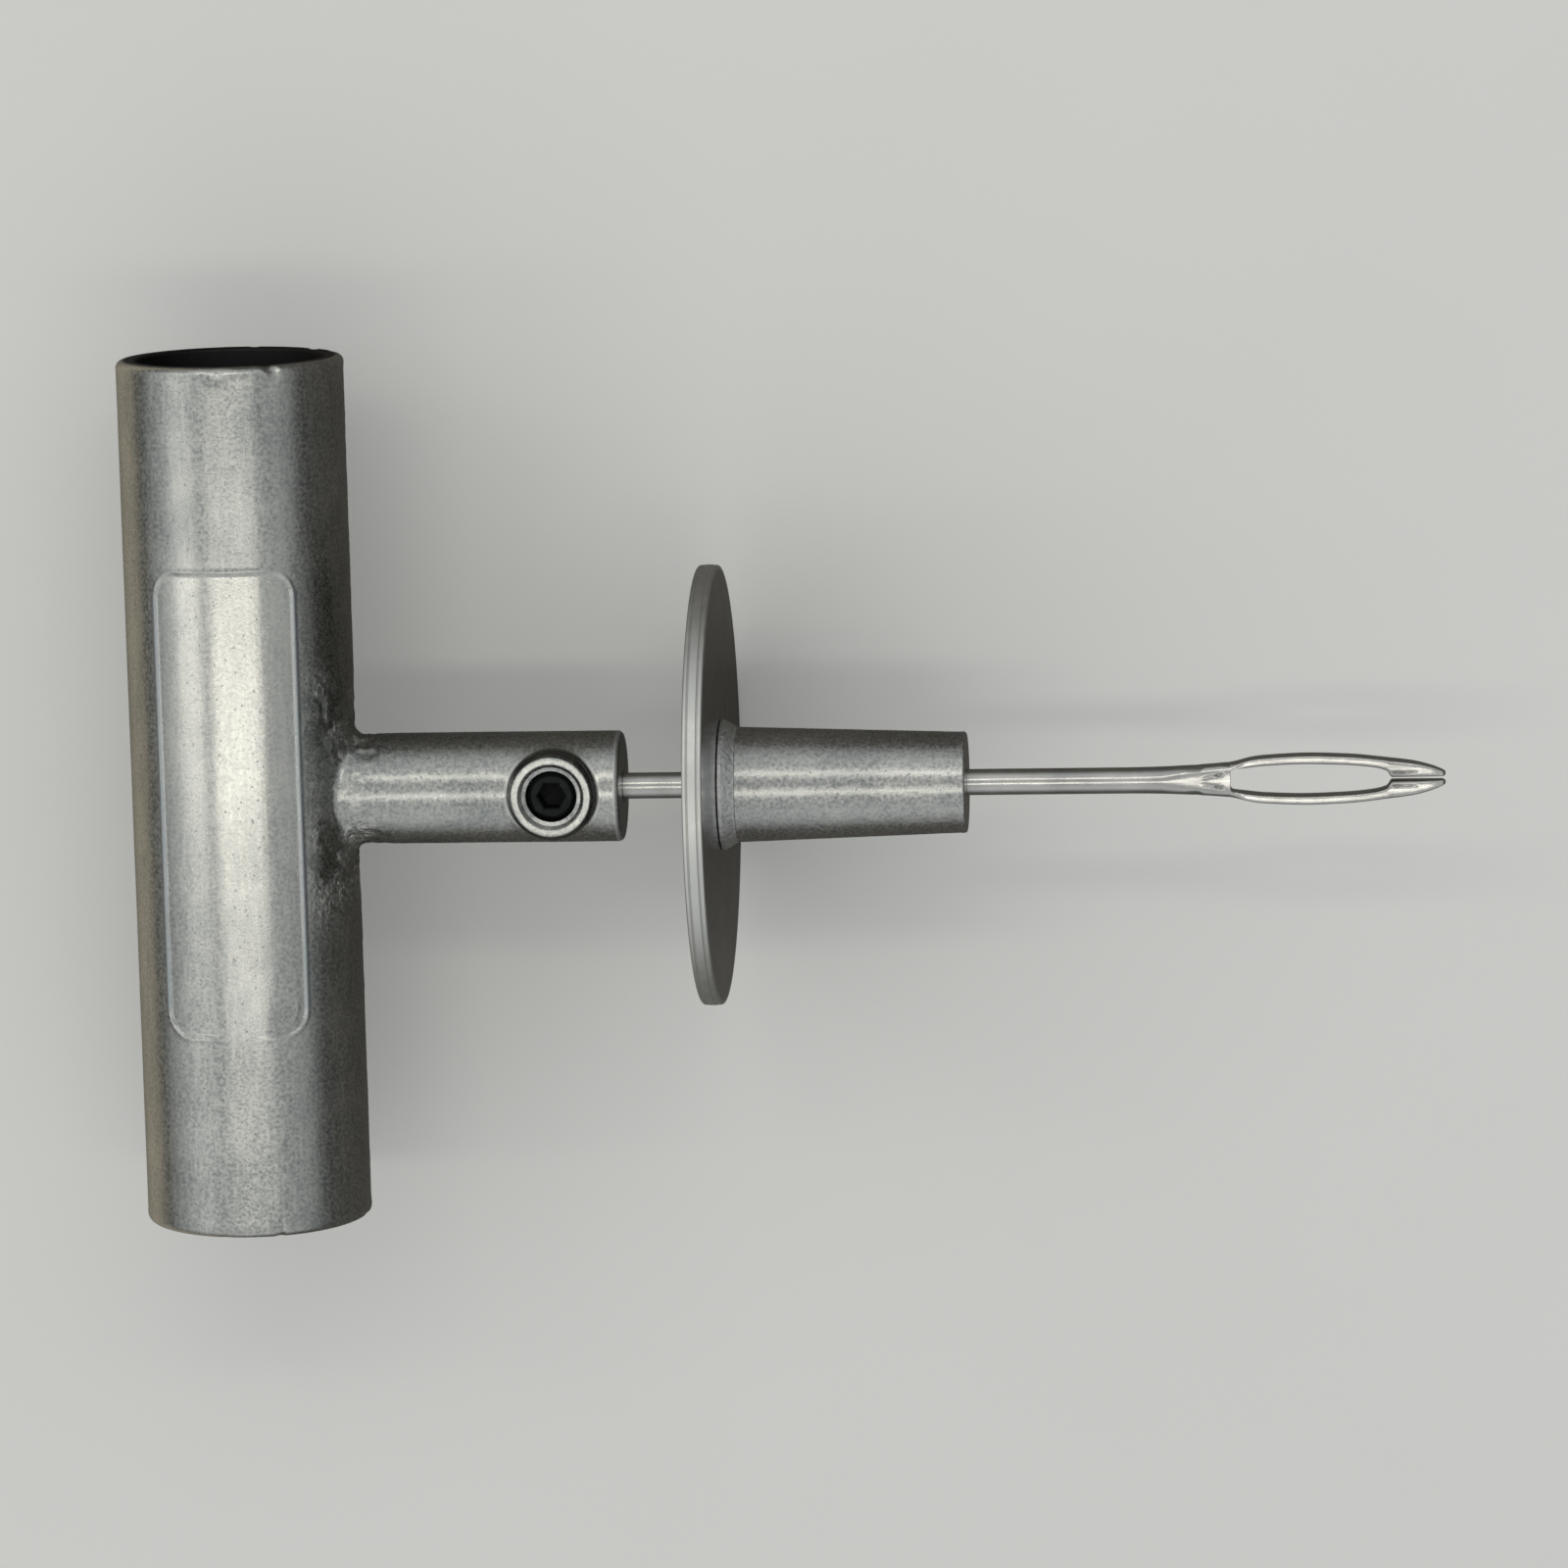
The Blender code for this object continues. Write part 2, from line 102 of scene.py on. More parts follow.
# The worn middle of its lower edge, and the (start, length) above that edge of the ramps over which
# the bead and the recess come back.
WORN_ARC = -1.0
WORN_HALF = 2.5
WORN_SOFT = 2.5
WORN_BEAD = (0.5, 1.5)
WORN_RECESS = (0.0, 9.0)
# A second, short bead inside the lower left corner.
CURL_INSET = 1.4
CURL_ACROSS = 2.6
CURL_ALONG = 4.2
CURL = (0.8 * BEAD[0], BEAD[1])

# Neck and screw boss of the casting.
NECK_RADIUS = 6.83
NECK_END = CASTING_HIGH.x
NECK_END_ROUND = 0.6
NECK_HUB = 0.5
ROOT_FILLET = 1.3
NECK_WINDOW = 10.0
NECK_CELLS = 30
NECK_CELL = 2.0 * NECK_WINDOW / NECK_CELLS
NECK_COLUMNS = 4 * NECK_CELLS
NECK_START = 16.4
NECK_STEP = 0.45
BOSS_X = (SCREW_LOW.x + SCREW_HIGH.x) / 2.0
BOSS_WINDOW = 6.6
BOSS_CELLS = 48
BOSS_COLUMNS = 4 * BOSS_CELLS
BOSS_FOOT = 5.4
BOSS_TOP = 4.85
BOSS_FILLET = 0.5
BOSS_SHOULDER_Z = 7.6
BOSS_TOP_Z = 8.5
BOSS_LIP_ROUND = 0.3
BOSS_INNER_ROUND = 0.6 * BOSS_LIP_ROUND
COUNTERSINK = 4.05
COUNTERSINK_INNER = 3.6
COUNTERSINK_DEPTH = 0.55
COUNTERSINK_ROUND = 0.05
LEDGE_DROP = 0.16
LEDGE_ROUND = 0.1
HOLE_RADIUS = 3.1
HOLE_FLOOR_Z = 0.5
# The thread starts below the ledge and ends above the floor.  One pitch of it is given as shares of
# the pitch and of the groove's depth.
PLAIN_WALL = 0.3
THREAD_LEAD = 0.4
THREAD_RUNOUT = 1.0
THREAD_PITCH = 1.0
THREAD_GROOVE = 0.28
THREAD_SHAPE = ((0.0, 0.0), (0.2, 0.0), (0.55, 1.0), (0.65, 1.0))
SOCKET_FLOOR = 29.5
SOCKET_RADIUS = 1.66
SOCKET_CHAMFER = 0.5

# The tumbled cast skin: layers of waves as (depth, size), and dents in the rims.
CAST_WAVES = ((0.018, 5.5), (0.008, 1.6))
SKIN_ZONE = 0.5
END_ZONE = 0.1
RIM_ZONE = 1.2
RIM_INNER = 12.0
NICK_DEPTH = 0.9
NICK_LEVEL = 0.38
NICK_SIZE = 2.2
NICK_SHIFT = Vector((3.0, 0.0, 9.0))
# Its rough root and the trimmed flash beside the neck: ramps as (start, length) along X, out from
# the middle and up, and lumps as (share, size).
ROOT_RISE = (10.0, 2.0)
ROOT_FALL = (15.5, 4.0)
FLASH_RISE = (3.5, 2.5)
FLASH_FALL = (10.0, 5.0)
FLASH_UP = (-6.0, 3.0)
FLASH_GRAIN = 0.26
ROOT_GRAIN = 0.07
LUMP_LEVEL = 0.5
LUMPS = ((0.6, 1.1), (0.4, 0.6))

# Needle.
SHAFT_RADIUS = 1.6
TAIL_CHAMFER = 0.3
FLAT_END = 43.5
FLAT_Z = 1.25
FLAT_REACH = 3.0
TIP_X = NEEDLE_HIGH.x
# Along the forged end: X from the tip, half width, half thickness.
FORGED = (
    (-39.3, 1.60, 1.60), (-32.3, 1.72, 1.58), (-26.3, 2.10, 1.52), (-22.3, 2.82, 1.48),
    (-16.6, 3.08, 1.45), (-11.8, 2.92, 1.45), (-7.6, 2.50, 1.42), (-4.0, 2.05, 1.32),
    (-1.7, 1.48, 1.10), (0.0, 0.80, 0.80),
)
# Along the eye and the slit: X from the tip, half width of the opening.
EYE = (
    (-26.1, 1.38), (-21.8, 1.76), (-17.3, 1.92), (-12.3, 1.78),
    (-8.9, 1.47), (-7.1, 1.00), (-6.5, 0.20), (0.0, 0.20),
)
EYE_ROOT_X = TIP_X + EYE[0][0]
EYE_ROOT_ROUND = 0.45
EYE_ROOT_STEPS = 6
# Squareness of the oval sections: 2 is an ellipse.  The forged end's comes in before the eye.
SHAFT_SQUARE = 2.0
FORGED_SQUARE = 3.6
FORGED_LEAD = 9.0
FORGED_RAMP = 6.0
STRAND_SQUARE = 5.0
SIDE_POINTS = 57
ARC_STEPS = 240
MIDDLE_POINTS = 9
WALL_POINTS = 9
STRAND_SPLIT = math.radians(118.0)
STRAND_RAMP = 2.0
STRAND_STEP = 0.3
TIP_LENGTH = 8.7
TIP_STEP = 0.2
TIP_ROUND = 0.3
TIP_FACE = 0.6
# Forked marks behind the eye's root: their middle lines start before the root and spread, and the
# depth comes in by shares, as (share, start, length).
MARKED_LENGTH = 5.5
MARKED_STEP = 0.15
MARK_START = 3.8
MARK_OFFSET = 0.25
MARK_SPREAD = 0.22
MARK = (0.36, 0.15)
MARK_SHARES = ((0.25, 0.0, 1.0), (0.75, 1.6, 0.8))
MARK_END = (-1.1, 0.4)
# Short grooves in the tip, and the height at which marks and grooves start.
GROOVE_OFFSET = 0.8
GROOVE = (0.26, 0.13)
GROOVE_RISE = (-6.8, 0.6)
GROOVE_FALL = (-4.4, 1.2)
MARKED_Z = (0.55, 0.4)

# Set screw.
SCREW_RADIUS = (SCREW_HIGH.x - SCREW_LOW.x) / 2.0
SCREW_ROOT = 2.45
SCREW_COLUMNS = 60
ROWS_PER_PITCH = 8
FLANK_GAIN = 2.6
FLANK_START = 0.25
SCREW_TOP_CHAMFER = 0.5
SCREW_TIP_CHAMFER = 0.8
HEX_FLATS = 3.0
HEX_DEPTH = 3.0
HEX_CHAMFER = 0.35
HEX_CHAMFER_DEPTH = 0.18
DRILL_SHARE = 0.42
DRILL_STEP = 0.1
DRILL_DEPTH = 0.5
CUP_RADIUS = 1.5
CUP_DEPTH = 0.7

# Stop: the staked spigot, the shoulder ring, the tapered sleeve and the disc.
SPIGOT = 4.6
STAKE = 5.6
STAKE_THICKNESS = 0.8
STAKE_ROUND = 0.3
STOP_GAP = 0.1
SEAT_GAP = 0.02
SHOULDER = SLEEVE_HIGH.y - SKIN
SHOULDER_RIM = 0.5
SHOULDER_BACK_ROUND = 0.15
SHOULDER_ROUND = 0.2
SHOULDER_WIDTH = 2.0
SHOULDER_FILLET = 1.0
SLEEVE_ROOT = 7.12
SLEEVE_NOSE = 6.2
SLEEVE_NOSE_ROUND = 0.35
SLEEVE_BORE = 1.85
SLEEVE_MOUTH = 0.35
# The sleeve's cast skin, where it is, and its parting line.
SLEEVE_WAVES = ((0.012, 1.1), (0.008, 0.6))
SLEEVE_SINK = 0.03
SLEEVE_SEAM = (0.03, 0.3)
SLEEVE_SKIN_DEPTH = 0.3
SLEEVE_SKIN_START = 0.4
SLEEVE_SKIN_END = (-0.8, 0.5)
# How far the stop slides towards the needle's flare, and the room that its bore leaves the flare.
STOP_TRAVEL = 28.5
BORE_LEAD = 0.15
BORE_PLAY = 0.02
FLARE_ROOM = 0.3
FLARE_RAMP = 1.6
# The disc's rim has two fine steps between three lands, and edges given as (drop, round).
DISC_RADIUS = DISC_HIGH.y
RIM_LAND = 0.6
RIM_STEP = 0.16
RIM_STEP_ROUND = 0.04
RIM_SIDE = 0.03
RIM_BACK = (0.08, 0.3)
RIM_FRONT = (0.1, 0.25)


# Curves


def smooth(value):
    """A smooth step from 0 to 1 as value goes from 0 to 1."""
    t = max(0.0, min(1.0, value))
    return t * t * (3.0 - 2.0 * t)


def ramp(value, start, length):
    """A smooth step from 0 at start to 1 a length further on."""
    return smooth((value - start) / length)


def band(value, rise, fall):
    """Up from 0 to 1 over one ramp and back down over another, each as (start, length)."""
    return ramp(value, *rise) * (1.0 - ramp(value, *fall))


def ridge(offset, height, half):
    """Height of a soft ridge at an offset from its middle line."""
    value = offset / half
    return height * math.exp(-value * value)


def through(table, x, column):
    """A smooth curve of a table's column over its first; its slopes never overshoot."""
    xs = [row[0] for row in table]
    ys = [row[column] for row in table]
    if x <= xs[0]:
        return ys[0]
    if x >= xs[-1]:
        return ys[-1]
    chords = [(ys[i + 1] - ys[i]) / (xs[i + 1] - xs[i]) for i in range(len(xs) - 1)]
    slopes = [0.0]
    for left, right in zip(chords, chords[1:]):
        slopes.append(0.0 if left * right <= 0.0 else 2.0 * left * right / (left + right))
    slopes.append(chords[-1])
    i = max(k for k in range(len(xs) - 1) if xs[k] <= x)
    span = xs[i + 1] - xs[i]
    t = (x - xs[i]) / span
    return (
        ys[i] * (1 + 2 * t) * (1 - t) ** 2
        + slopes[i] * span * t * (1 - t) ** 2
        + ys[i + 1] * t * t * (3 - 2 * t)
        + slopes[i + 1] * span * t * t * (t - 1)
    )


def rounded(corners, steps=6):
    """A polyline whose corners (along, out, radius) become arcs; its two ends stay sharp."""
    points = []
    last = len(corners) - 1
    for i, (along, out, radius) in enumerate(corners):
        here = Vector((along, out))
        if radius <= 0.0 or i in (0, last):
            points.append(here)
            continue
        back = (Vector(corners[i - 1][:2]) - here).normalized()
        ahead = (Vector(corners[i + 1][:2]) - here).normalized()
        half = back.angle(ahead) / 2.0
        centre = here + (back + ahead).normalized() * (radius / math.sin(half))
        start = (here + back * (radius / math.tan(half)) - centre).normalized()
        end = (here + ahead * (radius / math.tan(half)) - centre).normalized()
        points += [centre + radius * start.slerp(end, k / steps) for k in range(steps + 1)]
    return points


def divided(points, longest):
    """The same polyline with no stretch longer than `longest`."""
    result = []
    for a, b in zip(points, points[1:]):
        count = max(1, math.ceil((b - a).length / longest))
        result += [a.lerp(b, k / count) for k in range(count)]
    return result + [points[-1]]


def spaced(points, count):
    """`count` points at equal distances along a polyline, its two ends among them."""
    lengths = [0.0]
    for a, b in zip(points, points[1:]):
        lengths.append(lengths[-1] + (b - a).length)
    result, i = [], 0
    for k in range(count):
        goal = lengths[-1] * k / (count - 1)
        while i < len(points) - 2 and lengths[i + 1] < goal:
            i += 1
        share = (goal - lengths[i]) / (lengths[i + 1] - lengths[i])
        result.append(points[i].lerp(points[i + 1], min(1.0, share)))
    return result


def stations(*breaks):
    """Values from the first break to the last; a break is (value, spacing up to the next one)."""
    values = []
    for (start, spacing), (end, _) in zip(breaks, breaks[1:]):
        count = max(1, round((end - start) / spacing))
        values += [start + (end - start) * k / count for k in range(count)]
    return values + [breaks[-1][0]]


# Meshes


def add_points(bm, points):
    return [bm.verts.new(p) for p in points]


def ring(along, radius, columns):
    """A circle about the first axis."""
    angles = [TURN * k / columns for k in range(columns)]
    return [Vector((along, radius * math.cos(a), radius * math.sin(a))) for a in angles]


def join(bm, a, b, closed=True):
    """A strip of quads between two rows of vertices."""
    last = len(a) if closed else len(a) - 1
    for i in range(last):
        j = (i + 1) % len(a)
        bm.faces.new((a[i], a[j], b[j], b[i]))


def join_all(bm, rows, closed=True):
    for a, b in zip(rows, rows[1:]):
        join(bm, a, b, closed)


def fan(bm, row, centre):
    """Closes a ring with triangles round a middle vertex."""
    middle = bm.verts.new(centre)
    for i, vert in enumerate(row):
        bm.faces.new((vert, row[(i + 1) % len(row)], middle))


def lofted(bm, rings):
    """Rings of points joined by quads."""
    rows = [add_points(bm, points) for points in rings]
    join_all(bm, rows)
    return rows


def turned(bm, profile, columns, loop=False):
    """A profile of (along, out) points swept round the first axis."""
    rows = lofted(bm, [ring(p[0], p[1], columns) for p in profile])
    if loop:
        join(bm, rows[-1], rows[0])
    return rows


def new_mesh(name, bm):
    """A bmesh in millimetres made into a mesh in the row frame, with its faces pointing out."""
    bmesh.ops.recalc_face_normals(bm, faces=bm.faces)
    place = Matrix.Translation((AXIS_X, 0.0, 0.0)) @ Matrix.Diagonal((MM, MM, MM, 1.0))
    bmesh.ops.transform(bm, matrix=place, verts=bm.verts)
    mesh = bpy.data.meshes.new(name)
    bm.to_mesh(mesh)
    bm.free()
    return mesh


def new_object(name, bm):
    obj = bpy.data.objects.new(name, new_mesh(name, bm))
    bpy.context.scene.collection.objects.link(obj)
    return obj


def cut(target, cutter):
    """Cuts the cutter out of the target's mesh for good, welds slivers, and removes the cutter."""
    modifier = target.modifiers.new("cut", "BOOLEAN")
    modifier.operation = "DIFFERENCE"
    modifier.solver = "EXACT"
    modifier.object = cutter
    bpy.context.view_layer.update()
    graph = bpy.context.evaluated_depsgraph_get()
    mesh = bpy.data.meshes.new_from_object(target.evaluated_get(graph))
    bm = bmesh.new()
    bm.from_mesh(mesh)
    bmesh.ops.remove_doubles(bm, verts=bm.verts, dist=WELD * MM)
    bmesh.ops.dissolve_degenerate(bm, edges=bm.edges, dist=WELD * MM)
    bm.to_mesh(mesh)
    bm.free()
    target.modifiers.clear()
    target.data = mesh
    bpy.data.objects.remove(cutter)


def dress(obj, body, node, material):
    """Gives a piece its material and shading, and puts it in its CAD node's place."""
    obj.data.materials.clear()
    obj.data.materials.append(material)
    obj.data.shade_smooth()
    obj.data.set_sharp_from_angle(angle=SHARP_ANGLE)
    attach(obj, body)
    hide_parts(node)


def rough(point, size):
    """Noise from -1 to 1 with bumps of about `size` millimetres."""
    return noise.noise(point / size)


def waves(point, layers):
    """Soft dents, never below 0, from layers of (depth, size)."""
    return sum(depth * (1.0 + rough(point, size)) for depth, size in layers)


def sink(bm, depth):
    """Moves each vertex in along its normal by depth(vertex), in millimetres."""
    bmesh.ops.recalc_face_normals(bm, faces=bm.faces)
    bm.normal_update()
    moves = [(vert, vert.normal * depth(vert)) for vert in bm.verts]
    for vert, move in moves:
        vert.co -= move


# Casting: grip, label panel, neck and boss in one skin of quads


def panel_distance(across, along):
    """Distance outside the panel's rounded outline; negative inside."""
    out_across = abs(across) - (PANEL_HALF_ARC - PANEL_CORNER)
    out_along = abs(along) - (PANEL_HALF - PANEL_CORNER)
    outside = math.hypot(max(out_across, 0.0), max(out_along, 0.0))
    return outside + min(max(out_across, out_along), 0.0) - PANEL_CORNER


def panel_height(across, along):
    """The panel's shallow recess and its thin raised border, worn away along its lower edge."""
    distance = panel_distance(across, along)
    up = along + PANEL_HALF
    middle = 1.0 - ramp(abs(across - WORN_ARC), WORN_HALF, WORN_SOFT)
    bead = ridge(distance, *BEAD) * (1.0 - middle * (1.0 - ramp(up, *WORN_BEAD)))
    recess = PANEL_DEPTH * smooth(-distance / PANEL_SLOPE)
    recess *= 1.0 - middle * (1.0 - ramp(up, *WORN_RECESS))
    in_curl = across < CURL_ACROSS - PANEL_HALF_ARC + CURL_INSET and along < CURL_ALONG - PANEL_HALF
    curl = ridge(distance + CURL_INSET, *CURL) if in_curl else 0.0
    return bead + curl - recess


def grip_point(along, arc):
    """A point of the grip's skin; arc runs from the neck's side up over the crown."""
    radius = GRIP_SKIN + panel_height(arc - CROWN_ARC, along) + ridge(arc - SEAM_ARC, *SEAM)
    angle = arc / GRIP_RADIUS
    return Vector((radius * math.cos(angle), along, radius * math.sin(angle)))


def grip_rows():
    """Stations along the grip, close together at the panel's two ends."""
    side = GRIP_HALF - RIM_ROUND
    outer = PANEL_HALF + PANEL_MARGIN
    inner = PANEL_HALF - PANEL_CORNER - PANEL_MARGIN
    return stations(
        (-side, COARSE), (-outer, FINE), (-inner, COARSE), (-NECK_WINDOW, NECK_CELL),
        (NECK_WINDOW, COARSE), (inner, FINE), (outer, COARSE), (side, COARSE),
    )


def grip_columns():
    """Arc stations round the grip, close together at the panel's two sides and the parting line."""
    outer = PANEL_HALF_ARC + PANEL_MARGIN
    inner = PANEL_HALF_ARC - PANEL_CORNER - PANEL_MARGIN
    return stations(
        (-NECK_WINDOW, NECK_CELL), (NECK_WINDOW, COARSE),
        (CROWN_ARC - outer, FINE), (CROWN_ARC - inner, COARSE),
        (CROWN_ARC + inner, FINE), (CROWN_ARC + outer, COARSE),
        (SEAM_ARC - SEAM_MARGIN, SEAM_STEP), (SEAM_ARC + SEAM_MARGIN, COARSE),
        (TURN * GRIP_RADIUS - NECK_WINDOW, COARSE),
    )[:-1]


def square_loop(rows, columns):
    """Grid places round a square window, from its last row's middle towards its last column."""
    half = len(columns) // 2
    loop = [(rows[-1], c) for c in columns[half:]]
    loop += [(r, columns[-1]) for r in reversed(rows[:-1])]
    loop += [(rows[0], c) for c in reversed(columns[:-1])]
    loop += [(r, columns[0]) for r in rows[1:]]
    loop += [(rows[-1], c) for c in columns[1:half]]
    return loop


def grid_with_window(bm, row_count, column_count, point, rows, columns):
    """A grid that closes on itself across its columns and leaves a square window open."""
    inside_rows = set(rows[1:-1])
    inside_columns = set(columns[1:-1])
    grid = []
    for r in range(row_count):
        grid.append([
            None if r in inside_rows and c in inside_columns else bm.verts.new(point(r, c))
            for c in range(column_count)
        ])
    low = min(columns)
    window_cells = {(r, low + c) for r in rows[:-1] for c in range(len(columns) - 1)}
    for r in range(row_count - 1):
        for c in range(column_count):
            d = (c + 1) % column_count
            if (r, c) not in window_cells:
                bm.faces.new((grid[r][c], grid[r][d], grid[r + 1][d], grid[r + 1][c]))
    return grid


def rolled_fillet(host_radius, branch_radius, ball, columns, steps=6):
    """The fillet that a rolling ball leaves where a round branch meets a round host.

    Points are (along the branch, along the host, across both).  Also returns the places where the
    ball touches the host, as (along the host, arc round it).
    """
    feet, rings = [], [[] for _ in range(steps + 1)]
    for out in ring(0.0, 1.0, columns):
        centre = out * (branch_radius + ball)
        centre.x = math.sqrt((host_radius + ball) ** 2 - centre.z**2)
        feet.append((centre.y, host_radius * math.atan2(centre.z, centre.x)))
        to_host = -Vector((centre.x, 0.0, centre.z)).normalized()
        for k, points in enumerate(rings):
            points.append(centre + ball * to_host.slerp(-out, k / steps))
    return feet, rings


def over_host(window, feet, host_point, count):
    """Rings over the host's skin from a window's edge to a fillet's foot, half eased, half even."""
    rings = []
    for k in range(1, count):
        share = smooth(k / count) * 0.5 + 0.5 * k / count
        pairs = [Vector(a).lerp(Vector(b), share) for a, b in zip(window, feet)]
        rings.append([host_point(pair.x, pair.y) for pair in pairs])
    return rings


def morph(first, last, count):
    """Rings between two rings of points, both left out."""
    return [[a.lerp(b, k / count) for a, b in zip(first, last)] for k in range(1, count)]


def hollow_profile():
    """From the rim over the mouth to the hollow's floor, as (along, out); starts past the skin."""
    side = GRIP_HALF - RIM_ROUND
    floor = GRIP_HALF - HOLLOW_DEPTH
    corners = [
        (side - RIM_ROUND, GRIP_SKIN, 0.0),
        (GRIP_HALF, GRIP_SKIN, RIM_ROUND),
        (GRIP_HALF, HOLLOW_MOUTH, MOUTH_ROUND),
        (floor, HOLLOW_FLOOR, FLOOR_ROUND),
        (floor, HUB, 0.0),
    ]
    return divided(rounded(corners)[2:], longest=2.0)


def end_ring(p, sign, angles):
    """A ring about the grip's axis at a profile's point (along, out), at the end of that sign."""
    return [Vector((p.y * math.cos(a), sign * p.x, p.y * math.sin(a))) for a in angles]


def add_grip(bm):
    """The grip's skin, rims and hollows, with an open window for the neck; returns its loop."""
    rows, columns = grip_rows(), grip_columns()
    low = rows.index(-NECK_WINDOW)
    window_rows = list(range(low, low + NECK_CELLS + 1))
    window_columns = list(range(NECK_CELLS + 1))
    grid = grid_with_window(
        bm, len(rows), len(columns), lambda r, c: grip_point(rows[r], columns[c]),
        window_rows, window_columns,
    )
    profile = hollow_profile()
    angles = [arc / GRIP_RADIUS for arc in columns]
    for sign, edge in ((1.0, grid[-1]), (-1.0, grid[0])):
        inner = lofted(bm, [end_ring(p, sign, angles) for p in profile])
        join(bm, edge, inner[0])
        fan(bm, inner[-1], (0.0, sign * profile[-1].x, 0.0))
    loop = square_loop(window_rows, window_columns)
    return [grid[r][c] for r, c in loop], [(rows[r], columns[c]) for r, c in loop]


def add_root(bm, edge, window):
    """The rings from the grip's window over the fillet to the neck; returns the last."""
    feet, fillet = rolled_fillet(GRIP_SKIN, NECK_RADIUS, ROOT_FILLET, NECK_COLUMNS)
    start = ring(NECK_START, NECK_RADIUS, NECK_COLUMNS)
    rings = over_host(window, feet, grip_point, count=9) + fillet
    rows = lofted(bm, rings + morph(fillet[-1], start, count=5))
    join(bm, edge, rows[0])
    return rows[-1]


def add_neck_end(bm, edge):
    """The neck's rounded edge and flat end face."""
    corners = [
        (NECK_END - NECK_END_ROUND - 1.0, NECK_RADIUS, 0.0),
        (NECK_END, NECK_RADIUS, NECK_END_ROUND),
        (NECK_END, NECK_HUB, 0.0),
    ]
    rows = turned(bm, divided(rounded(corners)[2:], longest=1.2), NECK_COLUMNS)
    join(bm, edge, rows[0])
    fan(bm, rows[-1], (NECK_END, 0.0, 0.0))


def add_neck(bm, edge, window):
    """The neck on the grip's window, with an open window for the boss; returns its loop."""
    root = add_root(bm, edge, window)
    low, high = BOSS_X - BOSS_WINDOW, BOSS_X + BOSS_WINDOW
    xs = stations(
        (NECK_START, NECK_STEP), (low, 2.0 * BOSS_WINDOW / BOSS_CELLS),
        (high, NECK_STEP), (NECK_END - NECK_END_ROUND, NECK_STEP),
    )
    circle = ring(0.0, NECK_RADIUS, NECK_COLUMNS)
    top = NECK_COLUMNS // 4
    half = BOSS_CELLS // 2
    window_rows = list(range(xs.index(low), xs.index(low) + BOSS_CELLS + 1))
    window_columns = list(range(top + half, top - half - 1, -1))
    grid = grid_with_window(
        bm, len(xs), NECK_COLUMNS, lambda r, c: circle[c] + Vector((xs[r], 0.0, 0.0)),
        window_rows, window_columns,
    )
    join(bm, root, grid[0])
    add_neck_end(bm, grid[-1])
    loop = square_loop(window_rows, window_columns)
    arc_step = NECK_RADIUS * TURN / NECK_COLUMNS
    return [grid[r][c] for r, c in loop], [(xs[r] - BOSS_X, (top - c) * arc_step) for r, c in loop]


def boss_profile():
    """From the boss's shoulder over its rounded lip and down the threaded hole, as (z, radius)."""
    sink_z = BOSS_TOP_Z - COUNTERSINK_DEPTH
    ledge_z = sink_z - LEDGE_DROP
    corners = [
        (BOSS_SHOULDER_Z, BOSS_FOOT, 0.0),
        (BOSS_TOP_Z, BOSS_TOP, BOSS_LIP_ROUND),
        (BOSS_TOP_Z, COUNTERSINK, BOSS_INNER_ROUND),
        (sink_z, COUNTERSINK_INNER, COUNTERSINK_ROUND),
        (ledge_z, HOLE_RADIUS, LEDGE_ROUND),
        (ledge_z - PLAIN_WALL, HOLE_RADIUS, 0.0),
    ]
    points = divided(rounded(corners), longest=0.5)
    z = ledge_z - THREAD_LEAD
    while z - THREAD_PITCH > HOLE_FLOOR_Z + THREAD_RUNOUT:
        for share, groove in THREAD_SHAPE:
            points.append(Vector((z - share * THREAD_PITCH, HOLE_RADIUS + groove * THREAD_GROOVE)))
        z -= THREAD_PITCH
    end = ((z, HOLE_RADIUS), (HOLE_FLOOR_Z, HOLE_RADIUS), (HOLE_FLOOR_Z, HUB))
    return points + [Vector(p) for p in end]


def upright(p):
    """A point of the boss from (along its axis, along the neck, across both)."""
    return Vector((BOSS_X + p.y, p.z, p.x))


def neck_point(along, arc):
    """A point of the neck's skin, from the boss's axis along the neck and round it."""
    angle = arc / NECK_RADIUS
    return Vector((BOSS_X + along, NECK_RADIUS * math.sin(angle), NECK_RADIUS * math.cos(angle)))


def add_boss(bm, edge, window):
    """The screw boss on the neck's window, with the screw's hole in it."""
    feet, fillet = rolled_fillet(NECK_RADIUS, BOSS_FOOT, BOSS_FILLET, BOSS_COLUMNS, steps=4)
    shoulder = ring(BOSS_SHOULDER_Z, BOSS_FOOT, BOSS_COLUMNS)
    standing = fillet + morph(fillet[-1], shoulder, count=6)
    standing += [ring(p.x, p.y, BOSS_COLUMNS) for p in boss_profile()]
    rings = over_host(window, feet, neck_point, count=4)
    rings += [[upright(p) for p in points] for points in standing]
    rows = lofted(bm, rings)
    join(bm, edge, rows[0])
    fan(bm, rows[-1], (BOSS_X, 0.0, HOLE_FLOOR_Z))


def nick_depth(p):
    """Dents in the rims of the grip's two ends."""
    return NICK_DEPTH * max(0.0, rough(p + NICK_SHIFT, NICK_SIZE) - NICK_LEVEL)


def lumps(p):
    height = LUMP_LEVEL
    for share, size in LUMPS:
        height += share * rough(p, size)
    return max(0.0, height)


def skin_depth(p):
    """Soft waves of the cast skin, and the rough root with its trimmed flash."""
    root = band(p.x, ROOT_RISE, ROOT_FALL)
    flash = root * band(abs(p.y), FLASH_RISE, FLASH_FALL) * ramp(p.z, *FLASH_UP)
    return waves(p, CAST_WAVES) + (FLASH_GRAIN * flash + ROOT_GRAIN * root) * lumps(p)


